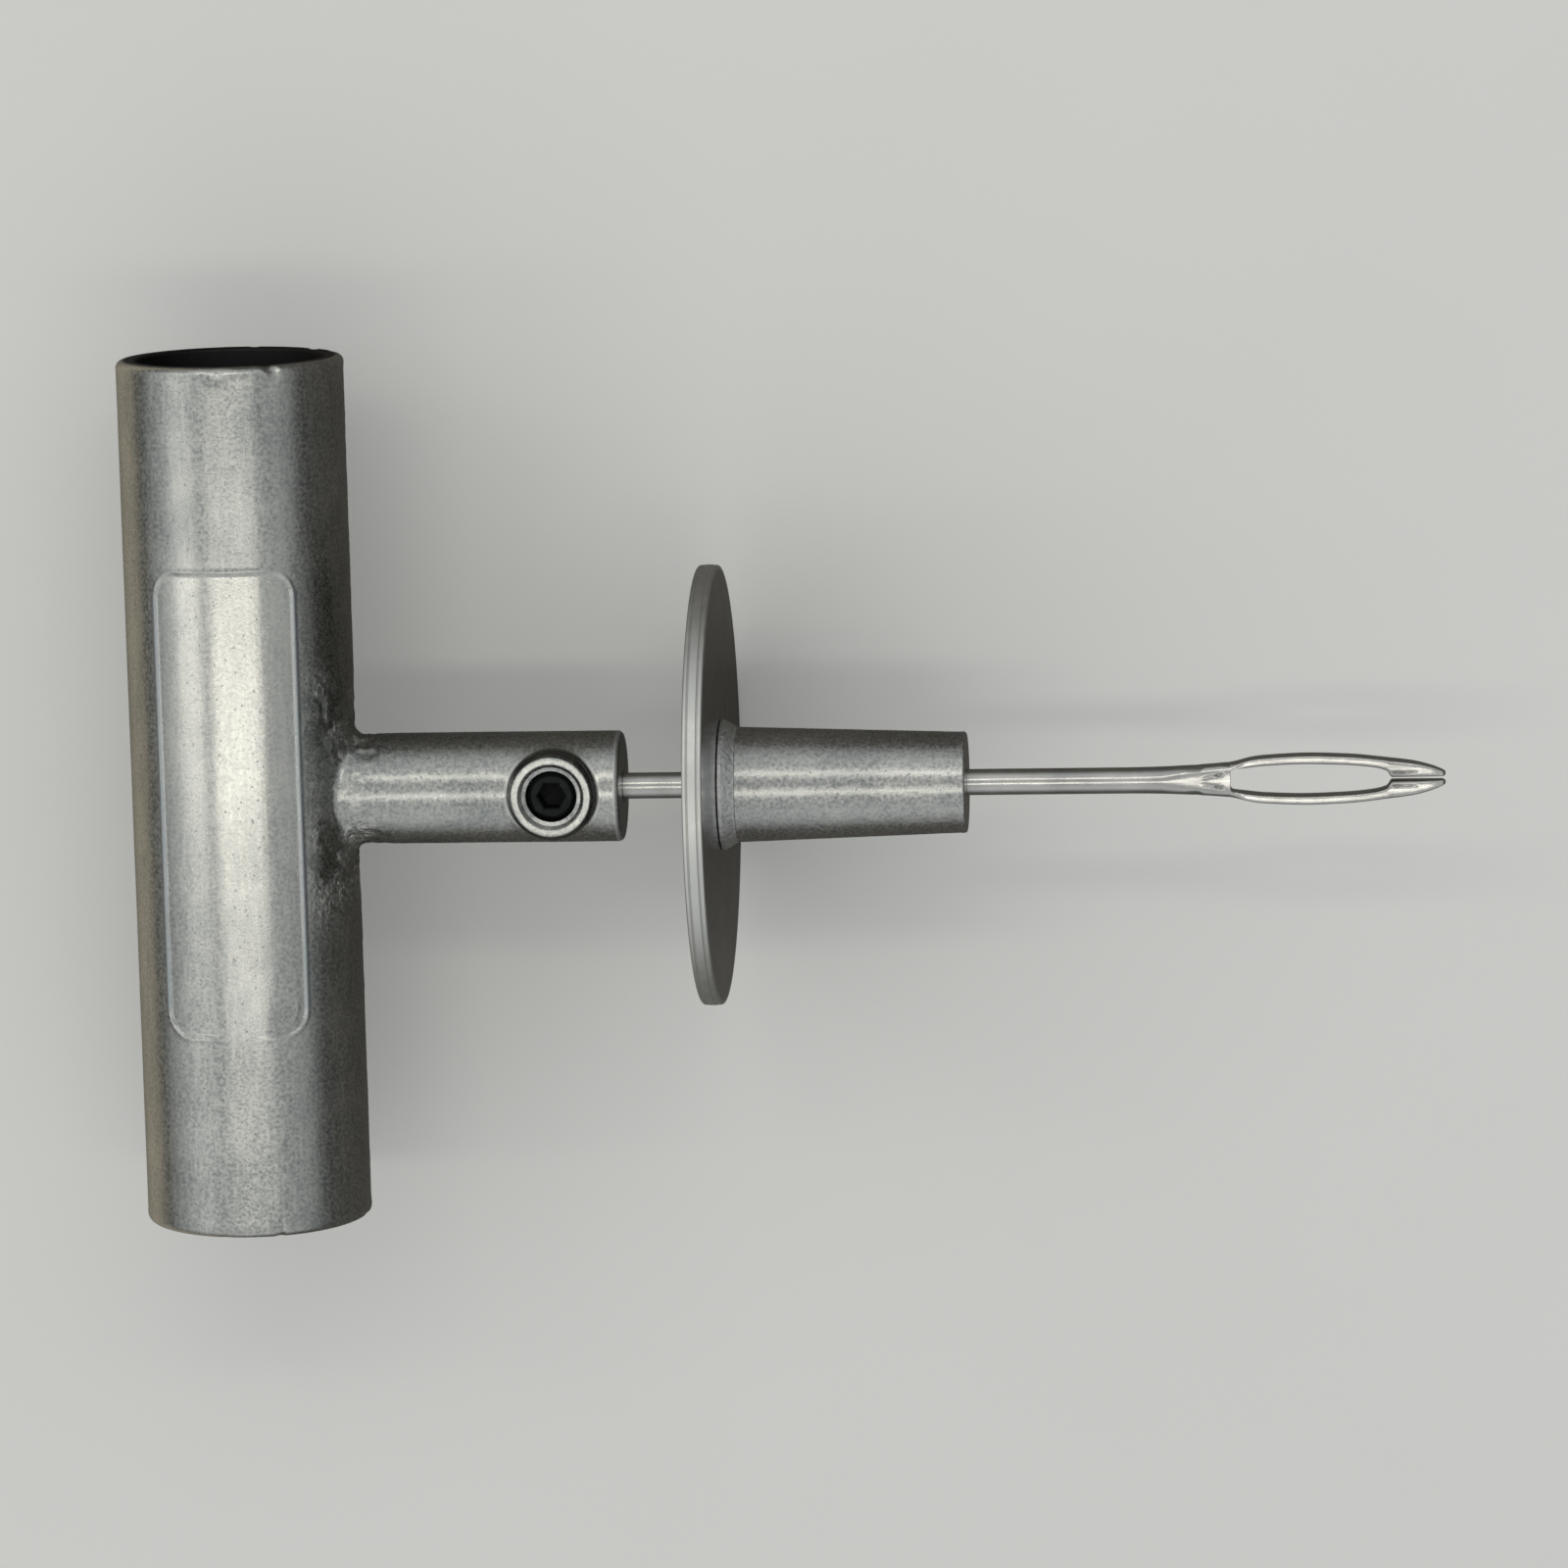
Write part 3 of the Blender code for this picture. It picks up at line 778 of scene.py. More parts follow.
def casting_depth(vert):
    """How far the tumbled casting sinks at a vertex; its hollows and end face stay true."""
    p = vert.co
    radius = math.hypot(p.x, p.z)
    if abs(p.y) > GRIP_HALF - RIM_ZONE and radius > RIM_INNER:
        return nick_depth(p)
    outside = radius > GRIP_RADIUS - SKIN_ZONE and p.x <= NECK_END - END_ZONE
    return skin_depth(p) if outside else 0.0


def socket_cutter():
    """The needle's socket, with a chamfer at its mouth."""
    bm = bmesh.new()
    mouth = SOCKET_RADIUS + SOCKET_CHAMFER
    end = NECK_END + 1.0
    profile = [
        Vector((SOCKET_FLOOR, SOCKET_RADIUS)),
        Vector((NECK_END - SOCKET_CHAMFER, SOCKET_RADIUS)),
        Vector((NECK_END, mouth)),
        Vector((end, mouth)),
    ]
    rows = turned(bm, profile, columns=64)
    fan(bm, rows[0], (SOCKET_FLOOR, 0.0, 0.0))
    fan(bm, rows[-1], (end, 0.0, 0.0))
    return new_object("socket_cutter", bm)


def build_casting():
    bm = bmesh.new()
    edge, window = add_grip(bm)
    edge, window = add_neck(bm, edge, window)
    add_boss(bm, edge, window)
    sink(bm, casting_depth)
    casting = new_object("cast_handle", bm)
    cut(casting, socket_cutter())
    dress(casting, "handle", "handle_casting", cast_zinc())


# Needle


def needle_half(x):
    """Half width and half thickness of the unsplit needle."""
    return through(FORGED, x - TIP_X, 1), through(FORGED, x - TIP_X, 2)


def eye_half(x):
    """Half width of the eye, with the root's rounded corners."""
    half = through(EYE, x - TIP_X, 1)
    in_corner = (x - EYE_ROOT_X) / EYE_ROOT_ROUND
    if in_corner < 1.0:
        half -= EYE_ROOT_ROUND * (1.0 - math.sqrt(1.0 - (1.0 - in_corner) ** 2))
    return half


def root_angle():
    """Angle on the needle's oval section at which the eye's root meets the skin."""
    share = eye_half(EYE_ROOT_X) / needle_half(EYE_ROOT_X)[0]
    return math.acos(share ** (FORGED_SQUARE / 2.0))


def powered(value, power):
    """A power that keeps the value's sign."""
    return math.copysign(abs(value) ** power, value)


def oval(x, angle, width, thickness, square):
    """A point of an oval section at x; a larger squareness flattens its top and sides."""
    y = width * powered(math.cos(angle), 2.0 / square)
    return Vector((x, y, thickness * powered(math.sin(angle), 2.0 / square)))


def oval_arc(x, first, last, size, square, count):
    """Evenly spaced points of an oval section at x, from one angle to another."""
    turns = [first + (last - first) * k / ARC_STEPS for k in range(ARC_STEPS + 1)]
    return spaced([oval(x, turn, size[0], size[1], square) for turn in turns], count)


def bore_room(x):
    """The radius that the sleeve's bore leaves the needle with the stop right up at the flare."""
    start = SLEEVE_HIGH.x + STOP_TRAVEL - SLEEVE_MOUTH - BORE_LEAD
    return SLEEVE_BORE - BORE_PLAY + FLARE_ROOM * ramp(x, start, FLARE_RAMP)


def held_in(p, radius):
    """The point moved straight towards the needle's axis until it is within a radius of it."""
    share = min(1.0, radius / max(math.hypot(p.y, p.z), 1e-6))
    return Vector((p.x, p.y * share, p.z * share))


def shaft_ring(x, width, thickness):
    """An oval ring that fits the sleeve's bore: right side down, bottom, left side up, top."""
    forged = smooth((x - EYE_ROOT_X + FORGED_LEAD) / FORGED_RAMP)
    square = SHAFT_SQUARE + (FORGED_SQUARE - SHAFT_SQUARE) * forged
    corner = root_angle()
    size = (width, thickness)
    half = oval_arc(x, corner, -corner, size, square, SIDE_POINTS)
    half += oval_arc(x, -corner, corner - math.pi, size, square, MIDDLE_POINTS + 2)[1:-1]
    half = [held_in(p, bore_room(x)) for p in half]
    return half + [Vector((x, -p.y, -p.z)) for p in half]


def wall_points(x, eye, top):
    """Points up the eye's wall between its lower and its upper edge."""
    heights = [top * (2.0 * k / (WALL_POINTS + 1) - 1.0) for k in range(1, WALL_POINTS + 1)]
    return [Vector((x, eye, z)) for z in heights]


def strand_ring(x):
    """The right strand's section: outer side from top to bottom, then the eye's wall going up."""
    width, thickness = needle_half(x)
    eye = eye_half(x)
    corner = math.acos(min(1.0, eye / width) ** (FORGED_SQUARE / 2.0))
    cut_section = oval_arc(x, corner, -corner, (width, thickness), FORGED_SQUARE, SIDE_POINTS)
    cut_section += wall_points(x, eye, cut_section[0].z)
    middle = Vector((0.0, (width + eye) / 2.0, 0.0))
    size = ((width - eye) / 2.0, thickness)
    split, back = STRAND_SPLIT, STRAND_SPLIT - TURN
    full_section = oval_arc(x, split, -split, size, STRAND_SQUARE, SIDE_POINTS)
    full_section += oval_arc(x, -split, back, size, STRAND_SQUARE, WALL_POINTS + 2)[1:-1]
    share = smooth((x - EYE_ROOT_X) / STRAND_RAMP)
    return [a.lerp(middle + b, share) for a, b in zip(cut_section, full_section)]


def strand_stations():
    """X of the strands' rings, close together in the root's rounded corners and at the tip."""
    turns = [math.pi / 2.0 * k / EYE_ROOT_STEPS for k in range(EYE_ROOT_STEPS + 1)]
    corner = [EYE_ROOT_X + EYE_ROOT_ROUND * (1.0 - math.cos(turn)) for turn in turns]
    start = corner[-1] + STRAND_STEP
    return corner + stations(
        (start, STRAND_STEP), (TIP_X - TIP_LENGTH, TIP_STEP), (TIP_X - TIP_ROUND, TIP_STEP)
    )


def add_strand(bm, first, sign):
    """One strand of the eye and its half of the tip, from its first ring of vertices."""
    end = strand_ring(TIP_X)
    middle = sum(end, Vector()) / len(end)
    rings = [strand_ring(x) for x in strand_stations()[1:]]
    rings.append([middle.lerp(p, TIP_FACE) for p in end])
    rows = [first]
    for points in rings:
        rows.append(add_points(bm, [Vector((p.x, sign * p.y, p.z)) for p in points]))
    join_all(bm, rows)
    bm.faces.new(rows[-1])


def needle_marks(vert):
    """Depth of the forked marks behind the eye's root and of the short grooves in the tip."""
    p = vert.co
    ahead = p.x - (EYE_ROOT_X - MARK_START)
    fade = sum(share * ramp(ahead, start, length) for share, start, length in MARK_SHARES)
    fade *= 1.0 - ramp(p.x - EYE_ROOT_X, *MARK_END)
    off_line = abs(p.y) - (MARK_OFFSET + MARK_SPREAD * ahead)
    marks = ridge(off_line, *MARK) * fade
    in_tip = band(p.x - TIP_X, GROOVE_RISE, GROOVE_FALL)
    grooves = ridge(abs(p.y) - GROOVE_OFFSET, *GROOVE) * in_tip
    return (marks + grooves) * ramp(abs(p.z), *MARKED_Z) * abs(vert.normal.z)


def add_shaft(bm):
    """The needle from its chamfered tail to the eye's root; returns its last ring."""
    tail = SHAFT_RADIUS - TAIL_CHAMFER
    start = NEEDLE_LOW.x
    xs = stations(
        (FLAT_END + 1.0, 2.5), (TIP_X + FORGED[0][0], 1.0),
        (EYE_ROOT_X - MARKED_LENGTH, MARKED_STEP), (EYE_ROOT_X, MARKED_STEP),
    )
    rings = [shaft_ring(start, tail, tail)]
    rings.append(shaft_ring(start + TAIL_CHAMFER, SHAFT_RADIUS, SHAFT_RADIUS))
    rings += [shaft_ring(x, *needle_half(x)) for x in xs]
    rows = lofted(bm, rings)
    fan(bm, rows[0], (start, 0.0, 0.0))
    return rows[-1]


def add_eye(bm, root):
    """The wall at the eye's root, and the two strands that go on from it."""
    half = SIDE_POINTS + MIDDLE_POINTS
    right, bottom = root[:SIDE_POINTS], root[SIDE_POINTS:half]
    left, top = root[half:half + SIDE_POINTS], root[half + SIDE_POINTS:]
    lower = [right[-1]] + bottom + [left[0]]
    upper = [right[0]] + top[::-1] + [left[-1]]
    wall = [lower]
    for k in range(1, WALL_POINTS + 1):
        share = k / (WALL_POINTS + 1)
        wall.append(add_points(bm, [a.co.lerp(b.co, share) for a, b in zip(lower, upper)]))
    wall.append(upper)
    join_all(bm, wall, closed=False)
    add_strand(bm, right + [row[0] for row in wall[1:-1]], 1.0)
    add_strand(bm, left[::-1] + [row[-1] for row in wall[1:-1]], -1.0)


def flat_cutter():
    """A block over the needle's tang that leaves the flat under the set screw."""
    bm = bmesh.new()
    start, wide = NEEDLE_LOW.x - 1.0, FLAT_REACH
    rows = []
    for z in (FLAT_Z, FLAT_REACH):
        corners = ((start, -wide), (FLAT_END, -wide), (FLAT_END, wide), (start, wide))
        rows.append(add_points(bm, [Vector((x, y, z)) for x, y in corners]))
        bm.faces.new(rows[-1])
    join(bm, rows[0], rows[1])
    return new_object("flat_cutter", bm)


def build_needle():
    bm = bmesh.new()
    add_eye(bm, add_shaft(bm))
    sink(bm, needle_marks)
    needle = new_object("split_eye_needle", bm)
    cut(needle, flat_cutter())
    dress(needle, "needle", "insertion_needle", satin_steel())


# Set screw


def screw_radius(z, phase):
    """Radius of the thread at a height; phase runs from 0 to 1 along one pitch."""
    flank = smooth(abs(phase - 0.5) * FLANK_GAIN - FLANK_START)
    thread = SCREW_ROOT + (SCREW_RADIUS - SCREW_ROOT) * flank
    top = SCREW_RADIUS - SCREW_TOP_CHAMFER + (SCREW_HIGH.z - z)
    bottom = SCREW_RADIUS - SCREW_TIP_CHAMFER + (z - SCREW_LOW.z)
    return min(thread, top, bottom)


def screw_point(z, radius, angle):
    """A point about the set screw's axis."""
    return Vector((BOSS_X + radius * math.cos(angle), radius * math.sin(angle), z))


def thread_column(turn, row_count):
    """Points up the thread's side at a share of a turn, with rows that follow the helix."""
    column = []
    for r in range(-ROWS_PER_PITCH, row_count + 1):
        z = SCREW_LOW.z + (r / ROWS_PER_PITCH + turn) * THREAD_PITCH
        z = max(SCREW_LOW.z, min(SCREW_HIGH.z, z))
        inside = SCREW_LOW.z < z < SCREW_HIGH.z
        phase = (r % ROWS_PER_PITCH) / ROWS_PER_PITCH if inside else 0.0
        column.append(screw_point(z, screw_radius(z, phase), TURN * turn))
    return column


def merged_grid(bm, columns):
    """Columns of points joined by faces, where points at the same place share a vertex."""
    seen = {}
    grid = []
    for column in columns:
        for p in column:
            key = tuple(round(v, 5) for v in p)
            if key not in seen:
                seen[key] = bm.verts.new(p)
        grid.append([seen[tuple(round(v, 5) for v in p)] for p in column])
    for a, b in zip(grid, grid[1:]):
        for k in range(len(a) - 1):
            corners = list(dict.fromkeys((a[k], b[k], b[k + 1], a[k + 1])))
            if len(corners) > 2 and not bm.faces.get(corners):
                bm.faces.new(corners)
    return grid


def add_thread(bm):
    """The screw's threaded side; returns its lowest and highest ring."""
    row_count = (math.ceil((SCREW_HIGH.z - SCREW_LOW.z) / THREAD_PITCH) + 1) * ROWS_PER_PITCH
    columns = [thread_column(c / SCREW_COLUMNS, row_count) for c in range(SCREW_COLUMNS)]
    # One turn on, the helix meets the first column a pitch higher up.
    first = columns[0]
    columns.append(first[ROWS_PER_PITCH:] + [first[-1]] * ROWS_PER_PITCH)
    grid = merged_grid(bm, columns)
    return [column[0] for column in grid[:-1]], [column[-1] for column in grid[:-1]]


def hexagon_ring(z, flats):
    """Points on a hexagon, at the same angles as the screw's columns."""
    points = []
    for k in range(SCREW_COLUMNS):
        angle = TURN * k / SCREW_COLUMNS
        off_flat = (angle % (TURN / 6.0)) - TURN / 12.0
        points.append(screw_point(z, flats / 2.0 / math.cos(off_flat), angle))
    return points


def screw_ring(z, radius):
    return [Vector((BOSS_X + p.y, p.z, z)) for p in ring(z, radius, SCREW_COLUMNS)]


def build_screw():
    bm = bmesh.new()
    lowest, highest = add_thread(bm)
    top, low = SCREW_HIGH.z, SCREW_LOW.z
    floor = top - HEX_DEPTH
    rows = lofted(bm, [
        hexagon_ring(top, HEX_FLATS + HEX_CHAMFER),
        hexagon_ring(top - HEX_CHAMFER_DEPTH, HEX_FLATS),
        hexagon_ring(floor, HEX_FLATS),
        screw_ring(floor - DRILL_STEP, HEX_FLATS * DRILL_SHARE),
    ])
    join(bm, highest, rows[0])
    fan(bm, rows[-1], (BOSS_X, 0.0, floor - DRILL_DEPTH))
    rows = lofted(bm, [
        screw_ring(low, CUP_RADIUS),
        screw_ring(low + CUP_DEPTH * 0.5, CUP_RADIUS * 0.5),
    ])
    join(bm, lowest, rows[0])
    fan(bm, rows[-1], (BOSS_X, 0.0, low + CUP_DEPTH))
    screw = new_object("socket_set_screw", bm)
    dress(screw, "clamp_screw", "set_screw", black_oxide())


# Stop


def sleeve_depth(vert):
    """Soft waves of the sleeve's cast skin; its bore, spigot and ends stay true."""
    p = vert.co
    in_bore = math.hypot(p.y, p.z) < SLEEVE_NOSE - SLEEVE_SKIN_DEPTH
    if in_bore or p.x < DISC_HIGH.x + SLEEVE_SKIN_START:
        return 0.0
    depth = waves(p, SLEEVE_WAVES) + SLEEVE_SINK - ridge(p.z, *SLEEVE_SEAM)
    return depth * (1.0 - ramp(p.x - SLEEVE_HIGH.x, *SLEEVE_SKIN_END))


def build_sleeve():
    seat = DISC_HIGH.x + SEAT_GAP
    stake = DISC_LOW.x - STOP_GAP
    tail = stake - STAKE_THICKNESS
    nose = SLEEVE_HIGH.x
    corners = [
        (tail, SLEEVE_BORE, 0.0),
        (tail, STAKE, STAKE_ROUND),
        (stake, STAKE, 0.0),
        (stake, SPIGOT, 0.0),
        (seat, SPIGOT, 0.0),
        (seat, SHOULDER, SHOULDER_BACK_ROUND),
        (seat + SHOULDER_RIM, SHOULDER, SHOULDER_ROUND),
        (seat + SHOULDER_WIDTH, SLEEVE_ROOT, SHOULDER_FILLET),
        (nose, SLEEVE_NOSE, SLEEVE_NOSE_ROUND),
        (nose, SLEEVE_BORE + SLEEVE_MOUTH, 0.0),
        (nose - SLEEVE_MOUTH, SLEEVE_BORE, 0.0),
        (tail, SLEEVE_BORE, 0.0),
    ]
    bm = bmesh.new()
    turned(bm, divided(rounded(corners), longest=0.6)[:-1], columns=120, loop=True)
    sink(bm, sleeve_depth)
    sleeve = new_object("tapered_sleeve", bm)
    dress(sleeve, "sleeve", "stop_sleeve", sleeve_zinc())


def build_disc():
    """The stamped disc; its rim keeps the two fine steps that the die left."""
    bore = SPIGOT + STOP_GAP
    low, high = DISC_LOW.x, DISC_HIGH.x
    low_step, high_step = low + RIM_LAND, high - RIM_LAND
    side = DISC_RADIUS - RIM_SIDE
    corners = [
        (low, bore, 0.0),
        (low, DISC_RADIUS - RIM_BACK[0], RIM_BACK[1]),
        (low_step - RIM_STEP, side, RIM_STEP_ROUND),
        (low_step, side - RIM_STEP, 0.0),
        (low_step + RIM_STEP, DISC_RADIUS, RIM_STEP_ROUND),
        (high_step - RIM_STEP, DISC_RADIUS, RIM_STEP_ROUND),
        (high_step, DISC_RADIUS - RIM_STEP, 0.0),
        (high_step + RIM_STEP, side, RIM_STEP_ROUND),
        (high, DISC_RADIUS - RIM_FRONT[0], RIM_FRONT[1]),
        (high, bore, 0.0),
    ]
    bm = bmesh.new()
    turned(bm, divided(rounded(corners), longest=1.5), columns=192, loop=True)
    disc = new_object("finger_disc", bm)
    dress(disc, "disc", "stop_disc", plated_steel())


# Materials

# Linear colours, and pairs of tones that noise or light mixes.
HANDLE_TONES = ((0.30, 0.315, 0.31), (0.55, 0.55, 0.525))
SLEEVE_TONES = ((0.33, 0.34, 0.335), (0.58, 0.575, 0.555))
STEEL_TONES = ((0.60, 0.59, 0.57), (0.46, 0.455, 0.44))
PLATING_TONES = ((0.42, 0.425, 0.42), (0.30, 0.31, 0.31))
OXIDE_TONES = ((0.003, 0.004, 0.004), (0.006, 0.008, 0.008))
FLOOR_TONES = ((0.86, 0.85, 0.83), (0.90, 0.89, 0.87))
CASE_SHADE_AND_LIGHT = ((0.13, 0.12, 0.105), (0.60, 0.53, 0.42))
PIT = (0.10, 0.105, 0.11)
RUBBED = (0.72, 0.71, 0.68)
CREVICE_SHADE = (0.08, 0.085, 0.09)
STREAK = (0.70, 0.69, 0.65)
PANEL_HIGHLIGHT = (0.80, 0.785, 0.73)
BORDER_SHADE = (0.33, 0.365, 0.39)
HOLLOW_SHADE = (0.03, 0.03, 0.03)
PALE_LUMP = (0.74, 0.72, 0.66)
BOSS_WALL_SHADE = (0.02, 0.02, 0.02)
FOOT_HIGHLIGHT = (0.75, 0.74, 0.70)
NECK_END_HIGHLIGHT = (0.76, 0.76, 0.78)
TRIMMED_SHOULDER_HIGHLIGHT = (0.72, 0.72, 0.73)
RIM_HIGHLIGHT = (0.68, 0.68, 0.66)
RUBBED_OXIDE = (0.02, 0.022, 0.021)


class Nodes:
    """A node tree; inputs are given by socket name or number, as values or as sockets to link."""

    def __init__(self, tree):
        self.tree = tree

    def feed(self, node, inputs):
        for name, value in inputs.items():
            if isinstance(value, bpy.types.NodeSocket):
                self.tree.links.new(value, node.inputs[name])
            else:
                node.inputs[name].default_value = value

    def add(self, kind, inputs=None, **settings):
        node = self.tree.nodes.new(kind)
        for name, value in settings.items():
            setattr(node, name, value)
        self.feed(node, inputs or {})
        return node

    def math(self, operation, a, b=0.0, c=0.5):
        node = self.add("ShaderNodeMath", operation=operation)
        self.feed(node, {0: a, 1: b, 2: c})
        return node.outputs[0]

    def times(self, a, b):
        return self.math("MULTIPLY", a, b)


class Shader(Nodes):
    """A material's nodes, with places and sizes in millimetres."""

    def __init__(self, name):
        self.material = bpy.data.materials.new(name)
        self.material.use_nodes = True
        super().__init__(self.material.node_tree)
        self.surface = self.tree.nodes["Principled BSDF"]
        place = self.add("ShaderNodeTexCoord").outputs["Object"]
        to_mm = (1.0 / MM, 1.0 / MM, 1.0 / MM)
        self.place = self.add("ShaderNodeMapping", {"Vector": place, "Scale": to_mm}).outputs[0]

    def noise(self, size, detail=2.0, stretch=(1.0, 1.0, 1.0)):
        """Noise from 0 to 1 with features of about `size` millimetres."""
        place = self.place
        if stretch != (1.0, 1.0, 1.0):
            place = self.add("ShaderNodeMapping", {"Vector": place, "Scale": stretch}).outputs[0]
        inputs = {"Vector": place, "Scale": 1.0 / size, "Detail": detail, "Roughness": 0.55}
        return self.add("ShaderNodeTexNoise", inputs).outputs[0]

    def cells(self, size):
        """Distance to the nearest of scattered points, in units of the points' spacing."""
        inputs = {"Vector": self.place, "Scale": 1.0 / size}
        return self.add("ShaderNodeTexVoronoi", inputs).outputs["Distance"]

    def spread(self, value, low, high, to_low=0.0, to_high=1.0):
        """Maps value from low..high to to_low..to_high and holds it there."""
        inputs = {"Value": value, "From Min": low, "From Max": high}
        inputs.update({"To Min": to_low, "To Max": to_high})
        return self.add("ShaderNodeMapRange", inputs).outputs[0]

    def blend(self, share, a, b):
        """A colour between a and b."""
        node = self.add("ShaderNodeMix", data_type="RGBA")
        self.feed(node, {0: share})
        for index, colour in ((6, a), (7, b)):
            value = colour if isinstance(colour, bpy.types.NodeSocket) else (*colour, 1.0)
            self.feed(node, {index: value})
        return node.outputs[2]

    def bump(self, height, depth, normal=None):
        """Relief of `depth` millimetres between heights 0 and 1."""
        inputs = {"Height": height, "Distance": depth * MM, "Strength": 1.0}
        if normal:
            inputs["Normal"] = normal
        return self.add("ShaderNodeBump", inputs).outputs[0]

    def edges(self):
        """Pointiness of the mesh: above 0.5 on convex edges, below it in corners."""
        return self.add("ShaderNodeNewGeometry").outputs["Pointiness"]

    def axis(self, name):
        """One coordinate in millimetres, in the row frame."""
        return self.add("ShaderNodeSeparateXYZ", {"Vector": self.place}).outputs[name]

    def length(self, a, b):
        return self.math("SQRT", self.math("ADD", self.times(a, a), self.times(b, b)))

    def between(self, value, low, high, soft):
        """1 between low and high, fading to 0 over `soft` beyond them."""
        rise = self.spread(value, low - soft, low)
        return self.times(rise, self.spread(value, high, high + soft, 1.0, 0.0))

    def source(self, name):
        """The socket that already feeds one of the surface's inputs."""
        return self.surface.inputs[name].links[0].from_socket

    def recolour(self, share, colour, amount=1.0):
        if amount != 1.0:
            share = self.times(share, amount)
        colour = self.blend(share, self.source("Base Color"), colour)
        self.feed(self.surface, {"Base Color": colour})

    def roughen(self, share, amount):
        roughness = self.math("ADD", self.source("Roughness"), self.times(share, amount))
        self.feed(self.surface, {"Roughness": roughness})

    def surface_bump(self, height, depth):
        self.feed(self.surface, {"Normal": self.bump(height, depth, self.source("Normal"))})

    def finish(self, colour, roughness, normal, metallic):
        inputs = {"Base Color": colour, "Roughness": roughness, "Normal": normal}
        self.feed(self.surface, {**inputs, "Metallic": metallic})
        return self.material


def zinc(name, dark, light, grain):
    """Cast zinc: mottling, sand of a given grain (mm), pits, painted shade in corners and rubbed
    edges.
    """
    s = Shader(name)
    mottle = s.noise(8.0, 3.0)
    sand = s.noise(0.42, 3.0)
    fine = s.noise(0.2, 2.0)
    pits = s.spread(s.cells(0.9), 0.05, 0.17)
    tone = s.math("ADD", s.times(mottle, 0.3), s.times(sand, 0.7))
    colour = s.blend(s.spread(tone, 0.38, 0.62), dark, light)
    colour = s.blend(s.spread(pits, 0.0, 1.0, 0.5, 0.0), colour, PIT)
    colour = s.blend(s.spread(s.edges(), 0.505, 0.56, 0.0, 0.5), colour, RUBBED)
    # Corners and creases are darkened here: painted shade.
    colour = s.blend(s.spread(s.edges(), 0.42, 0.495, 0.6, 0.0), colour, CREVICE_SHADE)
    roughness = s.spread(sand, 0.35, 0.65, 0.21, 0.33)
    normal = s.bump(s.noise(2.6, 2.0), 0.006)
    normal = s.bump(sand, grain, normal)
    normal = s.bump(fine, grain * 0.35, normal)
    normal = s.bump(pits, 0.015, normal)
    s.finish(colour, roughness, normal, metallic=1.0)
    return s


def dress_panel(s, x, y, z):
    """The label panel: smoother, with a painted highlight that brightens its upper part, and painted
    bluish shade as a line down each side.
    """
    half = GRIP_RADIUS * math.sin(PANEL_HALF_ARC / GRIP_RADIUS) - 0.4
    panel = s.times(s.between(x, -half, half, 0.2), s.spread(z, 0.0, 1.0))
    panel = s.times(panel, s.spread(y, -0.8 * PANEL_HALF, 0.1 * PANEL_HALF))
    panel = s.times(panel, s.spread(y, PANEL_HALF - 0.4, PANEL_HALF - 0.1, 1.0, 0.0))
    # Painted highlight on the panel's top, brightest in its upper part.
    s.recolour(panel, PANEL_HIGHLIGHT, 0.3)
    s.roughen(panel, -0.03)
    border = s.between(s.math("ABSOLUTE", x), half, half + 0.65, 0.15)
    border = s.times(border, s.spread(z, 0.0, 1.0))
    straight = PANEL_HALF - PANEL_CORNER
    border = s.times(border, s.between(y, -straight, straight, 1.5))
    # Painted bluish shade along each side of the panel's border.
    s.recolour(border, BORDER_SHADE, 0.65)
    s.roughen(border, 0.1)


def dress_hollows(s, x, z):
    """The open ends are painted near black inside, as shade, and are dull."""
    hollow = s.spread(s.length(x, z), GRIP_RADIUS - 1.15, GRIP_RADIUS - 0.8, 1.0, 0.0)
    # Painted shade inside the hollows.
    s.recolour(hollow, HOLLOW_SHADE)
    s.roughen(hollow, 0.3)


def dress_root(s, x, off_axis):
    """The trimmed flash beside the neck's root is rough, with pale lumps."""
    root = s.times(s.between(x, 11.0, 15.0, 2.0), s.between(off_axis, 4.5, 12.0, 6.0))
    root = s.times(root, s.spread(s.noise(4.5, 2.0), 0.42, 0.56))
    lump = s.noise(0.7, 3.0)
    s.recolour(s.times(root, s.spread(lump, 0.5, 0.62)), PALE_LUMP)
    s.roughen(root, 0.12)
    s.surface_bump(s.times(root, lump), 0.38)


def dress_boss(s, x, y, z):
    """The boss's wall is painted with shade, lighter towards its top, and a painted highlight runs
    round its foot as a pale line.
    """
    boss = s.length(s.math("SUBTRACT", x, BOSS_X), y)
    above = s.spread(z, 5.0, 5.6)
    wall = s.times(s.between(boss, BOSS_TOP + 0.08, BOSS_FOOT, 0.08), above)
    # Painted shade on the boss's wall, strongest low down.
    s.recolour(s.times(wall, s.spread(z, 6.8, 8.4, 0.9, 0.5)), BOSS_WALL_SHADE)
    foot = s.times(s.between(boss, BOSS_FOOT + 0.2, BOSS_FOOT + 0.5, 0.15), above)
    # Painted highlight round the boss's foot.
    s.recolour(foot, FOOT_HIGHLIGHT, 0.5)


def cast_zinc():
    """The handle's zinc, streaked lengthwise."""
    s = zinc("cast_zinc", *HANDLE_TONES, 0.013)
    x = s.math("SUBTRACT", s.axis("X"), AXIS_X / MM)
    y, z = s.axis("Y"), s.axis("Z")
    streaks = s.noise(0.55, 3.0, (1.0, 0.1, 1.0))
    s.recolour(s.spread(streaks, 0.45, 0.75, 0.0, 0.35), STREAK)
    dress_panel(s, x, y, z)
    dress_hollows(s, x, z)
    dress_root(s, x, s.math("ABSOLUTE", y))
    dress_boss(s, x, y, z)
    # Painted highlight along the neck's rounded end edge.
    tip = s.between(x, NECK_END - 0.6, NECK_END - 0.15, 0.1)
    s.recolour(tip, NECK_END_HIGHLIGHT, 0.4)
    s.roughen(tip, 0.2)
    return s.material


